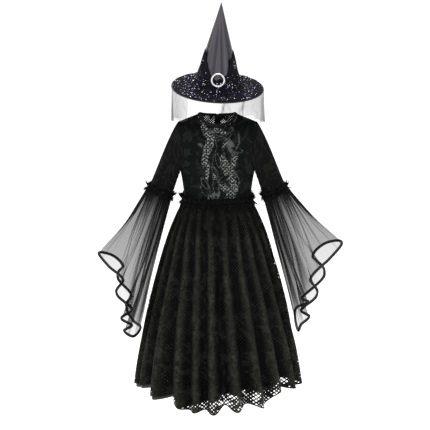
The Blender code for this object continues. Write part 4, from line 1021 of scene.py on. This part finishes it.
def gathered_band(ring_points, out, up, half, ripples, seed):
    """The strip's own middle, crinkled by the gathering thread."""
    random = np.random.default_rng(seed)
    count = len(ring_points)
    k = np.arange(count)
    rows = []
    for share in np.linspace(-1, 1, 9):
        ripple = np.sin(k * ripples + 1.3 * np.sin(k * 0.31)) * (0.0006 + 0.0026 * abs(share) ** 1.3)
        ripple += random.uniform(-0.0004, 0.0004, count) * abs(share)
        lift = 0.0006 + 0.0030 * abs(share) ** 1.5
        rows.append(ring_points - up * share * half + out * (lift + ripple)[:, None])
    return np.array(rows)


for side_name, side in (("left", 1), ("right", -1)):
    turns = np.linspace(0, 2 * math.pi, 180, endpoint=False)
    ring = elbow_points(turns, grow=0.0030)
    centre = np.array([ELBOW_OUT, 0.0, ELBOW_DROP])
    out = ring - centre
    out = out / np.linalg.norm(out, axis=1, keepdims=True)
    place = (side, -1.0, -1.0)
    up = np.broadcast_to(-ARM_AXIS, out.shape)
    band = gathered_band(ring, out, up, 0.0115, 1.9, 3 + side)
    band = band * place
    band = band if side < 0 else band[:, ::-1]
    piece = cloth(
        f"elbow_trim_band_{side_name}",
        band,
        np.arange(181)[None, :] / 180 * 0.24 + np.zeros((9, 1)),
        np.linspace(0, 0.017, 9)[:, None] + np.zeros((1, 181)),
        trim_lace,
        ring=True,
    )
    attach(piece, "costume")
    frill(
        f"elbow_trim_points_{side_name}",
        (ring * place)[::4],
        (out * place)[::4],
        (up * place)[::4],
        0.0150,
        11 + side,
        f"elbow_trim_{side_name}",
    )

degrees = np.linspace(-177.5, 177.5, 300)
angle = np.radians(degrees)
TRIM_STANDS_OFF = 0.0045
waist_half = smooth(BODY, "half_width", np.array([WAIST_DROP]))[0] + TRIM_STANDS_OFF
depth = np.where(
    np.cos(angle) > 0, smooth(BODY, "front", WAIST_DROP), smooth(BODY, "back", WAIST_DROP)
) + TRIM_STANDS_OFF
power = 2 / BODY_SQUARENESS
ring = np.stack(
    [
        np.sign(np.sin(angle)) * np.abs(np.sin(angle)) ** power * waist_half,
        -np.sign(np.cos(angle)) * np.abs(np.cos(angle)) ** power * depth,
        np.full_like(angle, -WAIST_DROP) + 0.0012 * np.sin(angle * 3),
    ],
    axis=1,
)
out = np.stack([np.sin(angle), -np.cos(angle), np.zeros_like(angle)], axis=1)
up = np.broadcast_to(np.array([0.0, 0.0, 1.0]), out.shape)
band = gathered_band(ring, out, up, 0.0180, 2.1, 8)
band[:, (0, -1), 0] = np.sign(band[:, (0, -1), 0]) * ZIP_HALF
piece = cloth(
    "waist_trim_band",
    band,
    np.arange(300)[None, :] / 300 * 0.65 + np.zeros((9, 1)),
    np.linspace(0, 0.021, 9)[:, None] + np.zeros((1, 300)),
    trim_lace,
)
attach(piece, "costume")
frill("waist_trim_points", ring[4:-4:4], out[4:-4:4], up[4:-4:4], 0.0190, 21, "waist_trim")

# The neckband. Black satin cut on the bias, folded over the neck edge.
for name in ("neckband", "zip_tape"):
    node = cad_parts[name]
    node.data.materials.clear()
    band_finish, tree, shader = finish_of(f"black satin of {name}", Roughness=0.5)
    shader.inputs["Specular IOR Level"].default_value = 0.12
    place = add(tree, "ShaderNodeTexCoord", out=3)
    weave = add(tree, "ShaderNodeTexNoise", {"Vector": place, "Scale": 900.0, "Detail": 2.0})
    colour = add(
        tree, "ShaderNodeMix", {0: weave, 6: linear("#050505"), 7: linear("#151515")}, out=2, data_type="RGBA"
    )
    tree.links.new(colour, shader.inputs["Base Color"])
    relief = add(tree, "ShaderNodeBump", {"Strength": 0.4, "Distance": 0.0003, "Height": weave})
    tree.links.new(relief, shader.inputs["Normal"])
    node.data.materials.append(band_finish)

# The zip. A fine nylon coil between two tapes, with a blackened metal slider and pull.
zip_metal, tree, shader = finish_of("blackened die-cast zinc", Metallic=1.0)
place = add(tree, "ShaderNodeTexCoord", out=3)
worn = add(tree, "ShaderNodeTexNoise", {"Vector": place, "Scale": 700.0, "Detail": 3.0})
colour = add(
    tree, "ShaderNodeMix", {0: worn, 6: linear("#1c1c1d"), 7: linear("#57585a")}, out=2, data_type="RGBA"
)
tree.links.new(colour, shader.inputs["Base Color"])
rough = add(tree, "ShaderNodeMapRange", {0: worn, 1: 0.3, 2: 0.7, 3: 0.28, 4: 0.48})
tree.links.new(rough, shader.inputs["Roughness"])
for name in ("zip_slider", "zip_pull"):
    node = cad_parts[name]
    node.data.materials.clear()
    node.data.materials.append(zip_metal)

def set_out(name, shape, places, turns, sizes, material):
    """Copies of a small shape at these places, turned and sized, joined as one mesh."""
    mesh = bpy.data.meshes.new(name + " places")
    mesh.from_pydata([tuple(p) for p in places], [], [])
    for label, values in (("turn", turns), ("size", np.repeat(np.array(sizes)[:, None], 3, axis=1))):
        layer = mesh.attributes.new(label, "FLOAT_VECTOR", "POINT")
        layer.data.foreach_set("vector", np.asarray(values, np.float32).ravel())
    holder = bpy.data.objects.new(name + " places", mesh)
    scene.collection.objects.link(holder)
    tree = bpy.data.node_groups.new(name + " layout", "GeometryNodeTree")
    for label, way, kind in (
        ("Places", "INPUT", "NodeSocketGeometry"),
        ("Shape", "INPUT", "NodeSocketObject"),
        ("Size", "INPUT", "NodeSocketFloat"),
        ("Pieces", "OUTPUT", "NodeSocketGeometry"),
    ):
        tree.interface.new_socket(label, in_out=way, socket_type=kind)
    given = add(tree, "NodeGroupInput", out=None)
    turned = add(tree, "GeometryNodeInputNamedAttribute", {"Name": "turn"}, data_type="FLOAT_VECTOR")
    sized = add(tree, "GeometryNodeInputNamedAttribute", {"Name": "size"}, data_type="FLOAT_VECTOR")
    sized = add(tree, "ShaderNodeVectorMath", {0: sized, "Scale": given.outputs[2]}, operation="SCALE")
    copied = add(tree, "GeometryNodeObjectInfo", {"Object": given.outputs[1]}, out=None)
    laid = add(
        tree,
        "GeometryNodeInstanceOnPoints",
        {
            "Points": given.outputs[0],
            "Instance": copied.outputs["Geometry"],
            "Rotation": turned,
            "Scale": sized,
        },
    )
    real = add(tree, "GeometryNodeRealizeInstances", {"Geometry": laid})
    dressed = add(tree, "GeometryNodeSetMaterial", {"Geometry": real, "Material": material})
    add(tree, "NodeGroupOutput", {0: dressed}, out=None)
    modifier = holder.modifiers.new("layout", "NODES")
    modifier.node_group = tree
    sockets = {item.name: item.identifier for item in tree.interface.items_tree if item.in_out == "INPUT"}
    modifier[sockets["Shape"]] = shape
    modifier[sockets["Size"]] = 1.0
    bpy.context.view_layer.update()
    evaluated = holder.evaluated_get(bpy.context.evaluated_depsgraph_get())
    made = bpy.data.meshes.new_from_object(evaluated)
    made.name = name
    made.materials.clear()
    made.materials.append(material)
    for polygon in made.polygons:
        polygon.material_index = 0
    bpy.data.objects.remove(holder)
    piece = bpy.data.objects.new(name, made)
    scene.collection.objects.link(piece)
    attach(piece, "costume")
    return piece


def small_shape(name, points, faces):
    mesh = bpy.data.meshes.new(name)
    mesh.from_pydata(points, [], faces)
    return bpy.data.objects.new(name, mesh)


# The zip's coil, one loop of nylon every 2.5 mm to each side in turn, drawn as single teeth
COIL_PITCH, COIL_HALF, SLIDER_LENGTH = 0.0025, 0.0007, 0.014
black_nylon, tree, shader = finish_of("black moulded nylon", Roughness=0.38)
place = add(tree, "ShaderNodeTexCoord", out=3)
speck = add(tree, "ShaderNodeTexNoise", {"Vector": place, "Scale": 1200.0, "Detail": 1.0})
colour = add(
    tree, "ShaderNodeMix", {0: speck, 6: linear("#141414"), 7: linear("#2c2c2c")}, out=2, data_type="RGBA"
)
tree.links.new(colour, shader.inputs["Base Color"])
bpy.context.view_layer.update()
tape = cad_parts["zip_tape"]
low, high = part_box("zip_tape")
places = []
for k, level in enumerate(np.arange(high[2] - SLIDER_LENGTH, low[2] + COIL_PITCH, -COIL_PITCH)):
    hit, spot, _, _ = tape.ray_cast(Vector((0.0, 1.0, level)), Vector((0.0, -1.0, 0.0)))
    if hit:
        places.append((COIL_HALF * (1 if k % 2 else -1), spot.y + 0.0003, level))
corners = [(x, y, z) for x in (-1.6, 1.6) for y in (-0.7, 0.5) for z in (-0.8, 0.8)]
sides = [(0, 1, 3, 2), (4, 6, 7, 5), (0, 4, 5, 1), (2, 3, 7, 6), (0, 2, 6, 4), (1, 5, 7, 3)]
tooth = small_shape("tooth", corners, sides)
unturned = [(0.0, 0.0, 0.0)] * len(places)
piece = set_out("zip_teeth", tooth, places, unturned, [0.001] * len(places), black_nylon)

# The hat. Its cone and brim are grey satin over a stiffener. Sequinned black net covers the brim
# and climbs the cone to a V over the buckle, and a pale net veil hangs from the brim's edge.
HAT_PLACE = Matrix.Translation((0.0, 0.0, 0.0905)) @ Euler(
    (math.radians(12.5), math.radians(2.5), 0.0)
).to_matrix().to_4x4()
CROWN_HEIGHT, CROWN_HALF_WIDTH, CROWN_HALF_DEPTH = 0.297, 0.080, 0.0925
HEAD_HALF_WIDTH, HEAD_HALF_DEPTH = 0.0765, 0.0890
BRIM_RADIUS, BRIM_DROOP, BRIM_WALL = 0.1600, 0.004, 0.0020


def placed(points):
    """Points in the hat's own frame, where it sits tipped forward above the dress."""
    turn = np.array(HAT_PLACE.to_3x3())
    return points @ turn.T + np.array(HAT_PLACE.translation)


def crown_points(turn, height, out=0.0):
    share = 1 - height / CROWN_HEIGHT
    slant = math.atan2(CROWN_HALF_WIDTH, CROWN_HEIGHT)
    grow = out * math.cos(slant)
    x = np.sin(turn) * (CROWN_HALF_WIDTH * share + grow)
    y = -np.cos(turn) * (CROWN_HALF_DEPTH * share + grow)
    return np.stack(np.broadcast_arrays(x, y, height + out * math.sin(slant)), axis=-1)


def brim_points(turn, share, up=0.0):
    x = np.sin(turn) * (HEAD_HALF_WIDTH + share * (BRIM_RADIUS - HEAD_HALF_WIDTH))
    y = -np.cos(turn) * (HEAD_HALF_DEPTH + share * (BRIM_RADIUS - HEAD_HALF_DEPTH))
    return np.stack(np.broadcast_arrays(x, y, up - BRIM_DROOP * share**2), axis=-1)


hat_satin = satin_finish("grey polyester satin", "#4a4650", "#2c2930", 0.34, streak=60.0, gloss=0.40)
turns = np.linspace(0, 2 * math.pi, 120, endpoint=False)
height = np.concatenate([np.linspace(0.0010, 0.27, 60), np.linspace(0.274, 0.2945, 10)])[::-1][:, None]
# Long soft drags up the cone, from its tip to the band
Drag = namedtuple("Drag", "turn wide deep low high")
creases = np.zeros((len(height), len(turns)))
for drag in (
    Drag(-0.62, 0.16, 2.0, 0.02, 0.27),
    Drag(-0.30, 0.12, -1.6, 0.03, 0.25),
    Drag(-0.06, 0.10, 1.8, 0.00, 0.22),
    Drag(0.18, 0.12, -1.9, 0.04, 0.26),
    Drag(0.46, 0.13, 1.9, 0.00, 0.24),
    Drag(0.80, 0.18, -1.7, 0.03, 0.27),
    Drag(1.25, 0.20, 1.6, 0.00, 0.25),
    Drag(-1.10, 0.20, -1.8, 0.02, 0.24),
    Drag(1.90, 0.22, -1.5, 0.02, 0.26),
    Drag(-1.80, 0.22, 1.6, 0.01, 0.25),
    Drag(2.60, 0.20, 1.6, 0.00, 0.26),
    Drag(-2.55, 0.20, -1.6, 0.02, 0.26),
):
    away = (turns - drag.turn + math.pi) % (2 * math.pi) - math.pi
    tall = ease((height - drag.low + 0.02) / 0.05) * ease((drag.high - height) / 0.08)
    creases += drag.deep / 1000 * np.exp(-((away / drag.wide) ** 2)) * tall
crown_grid = placed(crown_points(turns[None, :], height, 0.0004))
# Ridges stay low, so that they don't push through the net; hollows go deeper, and are darkened with painted
# shade
creases = np.where(creases > 0, creases * 0.4, creases * 1.7)
# Painted shade: in the creases' hollows, in fine streaks round the cone, and over its right side, away from
# the light
streaked = np.clip(np.sin(turns * 31 + 3 * np.sin(turns * 3)), 0, 1) ** 3
painted_shade = np.clip(-creases / 0.0030, 0.0, 1.0) + 0.35 * streaked
painted_shade = painted_shade + 0.55 * ease((turns - 0.55) / 0.6) * (turns < math.pi)
crown_grid = crown_grid + out_of(crown_grid, True) * creases[:, :, None]
tip = placed(np.array([[0.0, 0.0, CROWN_HEIGHT]]))
shut_tip = np.repeat(tip[:, None], 120, axis=1) + (crown_grid[:1] - tip) * 0.12
crown_grid = np.concatenate([shut_tip, crown_grid])
crown = cloth(
    "hat_crown_satin",
    crown_grid,
    np.arange(121)[None, :] / 120 * 0.5 + np.zeros((71, 1)),
    np.linspace(0, 0.31, 71)[:, None] + np.zeros((1, 121)),
    hat_satin,
    ring=True,
    painted={"painted_shade": np.concatenate([painted_shade[:1], painted_shade])},
    thickness=0.0010,
)
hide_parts("hat_crown")
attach(crown, "costume")

brim_turns = np.linspace(0, 2 * math.pi, 144, endpoint=False)
brim_share = np.linspace(0, 0.965, 22)[:, None]
brim = cloth(
    "hat_brim_satin",
    placed(brim_points(brim_turns[None, :], brim_share, 0.0)),
    np.arange(145)[None, :] / 144 * 0.8 + np.zeros((22, 1)),
    brim_share * 0.08 + np.zeros((1, 145)),
    hat_satin,
    ring=True,
    thickness=BRIM_WALL,
)
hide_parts("hat_brim")
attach(brim, "costume")

edge = []
for n in range(10):
    angle = 2 * math.pi * n / 10
    share = 1.0 - (0.0030 + math.cos(angle) * 0.0030) / (BRIM_RADIUS - HEAD_HALF_DEPTH)
    edge.append(placed(brim_points(brim_turns, share, -BRIM_WALL / 2 + math.sin(angle) * 0.0019)))
edge = np.array(edge).transpose(1, 0, 2)
edge = np.concatenate([edge, edge[:1]])
edge_tape = cloth(
    "hat_brim_tape",
    edge[:, ::-1],
    np.arange(11)[None, :] / 10 * 0.016 + np.zeros((145, 1)),
    np.arange(145)[:, None] / 144 * 1.0 + np.zeros((1, 11)),
    binding_satin,
    ring=True,
)
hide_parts("hat_brim_binding")
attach(edge_tape, "costume")

# Black net with sequins, gathered round the cone: it shows dark where its folds crowd together
net_black = tulle_finish("sequinned black net", "#0a0810", 0.80)
NET_OPEN = math.radians(75)
turns = np.linspace(0, 2 * math.pi, 288, endpoint=False)
from_front = np.abs((turns + math.pi) % (2 * math.pi) - math.pi)
net_top = 0.046 + (0.125 - 0.046) * ease(from_front / NET_OPEN)
net_top = net_top + 0.003 * np.sin(turns * 9 + 1.0) + 0.002 * np.sin(turns * 23)
ruck = np.sin(turns * 34 + 1.4 * np.sin(turns * 5)) * 0.0012
up_share = np.linspace(1, 0, 40)[:, None]
low_ruck = ruck * (0.6 + 0.4 * np.sin(up_share * 9 + turns * 4))
on_crown = crown_points(turns[None, :], 0.006 + up_share * (net_top - 0.006), 0.0030 + low_ruck * 0.8)
brim_out = np.linspace(0.12, 0.95, 40)[:, None]
on_brim = brim_points(
    turns[None, :], brim_out, 0.0024 + ruck * (1 - brim_out) + 0.0006 * np.sin(turns * 21 + brim_out * 14)
)
net_grid = placed(np.concatenate([on_crown, on_brim]))
folded = 1.2 + 1.6 * np.clip(np.sin(turns * 17 + 0.7), 0, 1) ** 2
folded = np.concatenate([folded * ease((1 - up_share) * 5 + 0.25), folded * (1.0 - 0.3 * brim_out)])
net_piece = cloth(
    "hat_sequinned_net",
    net_grid,
    np.arange(289)[None, :] / 288 * 0.8 + np.zeros((80, 1)),
    np.linspace(0, 0.2, 80)[:, None] + np.zeros((1, 289)),
    net_black,
    ring=True,
    painted={"folded": folded},
)
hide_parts("hat_net")
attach(net_piece, "costume")


# Sequins: cupped discs of silvered film, about 3 mm across, sewn flat but none quite level
silver_film, _, _ = finish_of(
    "silvered sequin film", Base_Color=linear("#d8d2e6"), Metallic=1.0, Roughness=0.16
)
violet_film, _, _ = finish_of(
    "violet sequin film", Base_Color=linear("#6d6488"), Metallic=1.0, Roughness=0.22
)
ring = [(math.cos(k * math.pi / 4), math.sin(k * math.pi / 4), 0.14) for k in range(8)]
sequin = small_shape("sequin", [(0.0, 0.0, 0.0)] + ring, [(0, k + 1, (k + 1) % 8 + 1) for k in range(8)])
random = np.random.default_rng(31)
normals = out_of(net_grid, True)
for name, count, film, size in (("silver", 420, silver_film, 0.0014), ("violet", 620, violet_film, 0.0015)):
    # More of them lie on the brim and low on the cone than near the net's top edge
    rows = np.clip((79 * random.uniform(0.06, 1.0, count) ** 0.8).astype(int), 6, 78)
    columns = random.integers(0, 288, count)
    places = net_grid[rows, columns] + normals[rows, columns] * 0.0006
    facing = normals[rows, columns] + random.normal(0.0, 0.42, (count, 3))
    turns3 = [tuple(Vector(f).normalized().to_track_quat("Z", "Y").to_euler()) for f in facing]
    sizes = size * random.uniform(0.75, 1.2, count)
    piece = set_out(f"hat_sequins_{name}", sequin, places, turns3, sizes, film)

# The buckle: a round silvered ring set all round with cut glass stones
buckle_silver, tree, shader = finish_of("silvered zinc ring", Base_Color=linear("#d9d9dc"), Metallic=1.0)
shader.inputs["Roughness"].default_value = 0.24
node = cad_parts["hat_buckle"]
node.data.materials.clear()
node.data.materials.append(buckle_silver)
stone_glass, _, shader = finish_of("cut glass with painted glow", Base_Color=linear("#f7f5f2"), Metallic=0.55)
shader.inputs["Roughness"].default_value = 0.12
# Painted glow: the stones give off a faint light of their own, for their sparkle
shader.inputs["Emission Color"].default_value = (1.0, 1.0, 1.0, 1.0)
shader.inputs["Emission Strength"].default_value = 0.12
BUCKLE_HEIGHT, BUCKLE_RADIUS, BUCKLE_STANDOFF, STONES = 0.047, 0.0210, 0.0039, 26
slant = math.atan2(CROWN_HALF_DEPTH, CROWN_HEIGHT)
face_out = np.array([0.0, -math.cos(slant), math.sin(slant)])
middle = crown_points(np.array(0.0), BUCKLE_HEIGHT) + face_out * BUCKLE_STANDOFF
side_way = np.array([1.0, 0.0, 0.0])
up_way = np.cross(face_out, side_way)
angles = np.linspace(0, 2 * math.pi, STONES, endpoint=False)
stones = middle + BUCKLE_RADIUS * (np.cos(angles)[:, None] * side_way + np.sin(angles)[:, None] * up_way)
stones = placed(stones + face_out * 0.0012)
table = [(0.55 * math.cos(k * math.pi / 4), 0.55 * math.sin(k * math.pi / 4), 0.62) for k in range(8)]
girdle = [(math.cos((k + 0.5) * math.pi / 4), math.sin((k + 0.5) * math.pi / 4), 0.1) for k in range(8)]
facets = [tuple(range(8))]
for k in range(8):
    n = (k + 1) % 8
    facets += [(k, 8 + k, n), (n, 8 + k, 8 + n)]
facets += [(16, 8 + (k + 1) % 8, 8 + k) for k in range(8)]
stone = small_shape("stone", table + girdle + [(0.0, 0.0, -0.6)], facets)
face_world = np.array(HAT_PLACE.to_3x3()) @ face_out
turn = tuple(Vector(face_world).to_track_quat("Z", "Y").to_euler())
piece = set_out("hat_buckle_stones", stone, stones, [turn] * STONES, [0.0023] * STONES, stone_glass)

# The veil: one width of fine net, hung from under the brim and open in front. It is all but
# clear where it hangs single, and shows where several layers of it fold together at the sides.
veil_net = tulle_finish("pale fine net", "#4e484e", 0.135)
VEIL_FRONT = math.radians(38)
span = 2 * (math.pi - VEIL_FRONT)
count = 361
along = np.linspace(0, 1, count)
turns = VEIL_FRONT + span * along
top = placed(brim_points(turns, 0.975, -BRIM_WALL / 2 - 0.0022))
hem = -0.030 + 0.030 * np.maximum(np.cos(turns), 0) + 0.004 * np.sin(3.1 * turns)
hem = hem + 0.003 * np.sin(9 * turns) + 0.001 * np.sin(23 * turns) - 0.004
share = np.linspace(0, 1, 48)[:, None]
ruffle = np.sin(turns * 14 + 1.5 * np.sin(turns * 3)) * 0.9 + np.sin(turns * 31 + 2.0) * 0.1
fold = (0.0018 + 0.0052 * share) * ruffle
out = np.stack([np.sin(turns), -np.cos(turns), np.zeros_like(turns)], axis=1)
veil_grid = top + np.zeros((48, 1, 3))
veil_grid[:, :, 2] = top[:, 2] + share * (hem - top[:, 2])
veil_grid = veil_grid + out * fold[:, :, None]
# Where the layers crowd: the middle and spread of each place in degrees from the front, and the
# number of further layers there
Crowd = namedtuple("Crowd", "turn wide layers")
folded = np.full((48, count), 0.0)
degrees = np.degrees(turns)
for crowd in (
    Crowd(80, 5, 3.0), Crowd(93, 5, 5.0), Crowd(60, 12, 1.0), Crowd(106, 9, 1.4), Crowd(130, 18, 0.8),
    Crowd(281, 5, 3.0), Crowd(267, 5, 6.0), Crowd(300, 12, 1.0), Crowd(254, 9, 1.4), Crowd(230, 18, 0.8),
    Crowd(166, 10, 2.4), Crowd(152, 9, 2.2), Crowd(142, 2, 4.0), Crowd(172, 1.6, 5.0),
    Crowd(66, 24, 0.9), Crowd(294, 24, 0.9),
):
    wander = crowd.turn + 3.0 * np.sin(share * 5 + crowd.turn)
    folded += crowd.layers * np.exp(-(((degrees - wander) / crowd.wide) ** 2))
wisp = np.clip(np.sin(turns * 26 + 5 * share + 3 * np.sin(share * 5 + turns * 7)), 0, 1) ** 4
folded = folded * (0.75 + 0.6 * wisp)
veil = cloth(
    "hat_veil_net",
    veil_grid,
    along[None, :] * 0.80 + np.zeros((48, 1)),
    share * 0.12 + np.zeros((1, count)),
    veil_net,
    painted={"folded": folded},
)
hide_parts("hat_veil")
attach(veil, "costume")
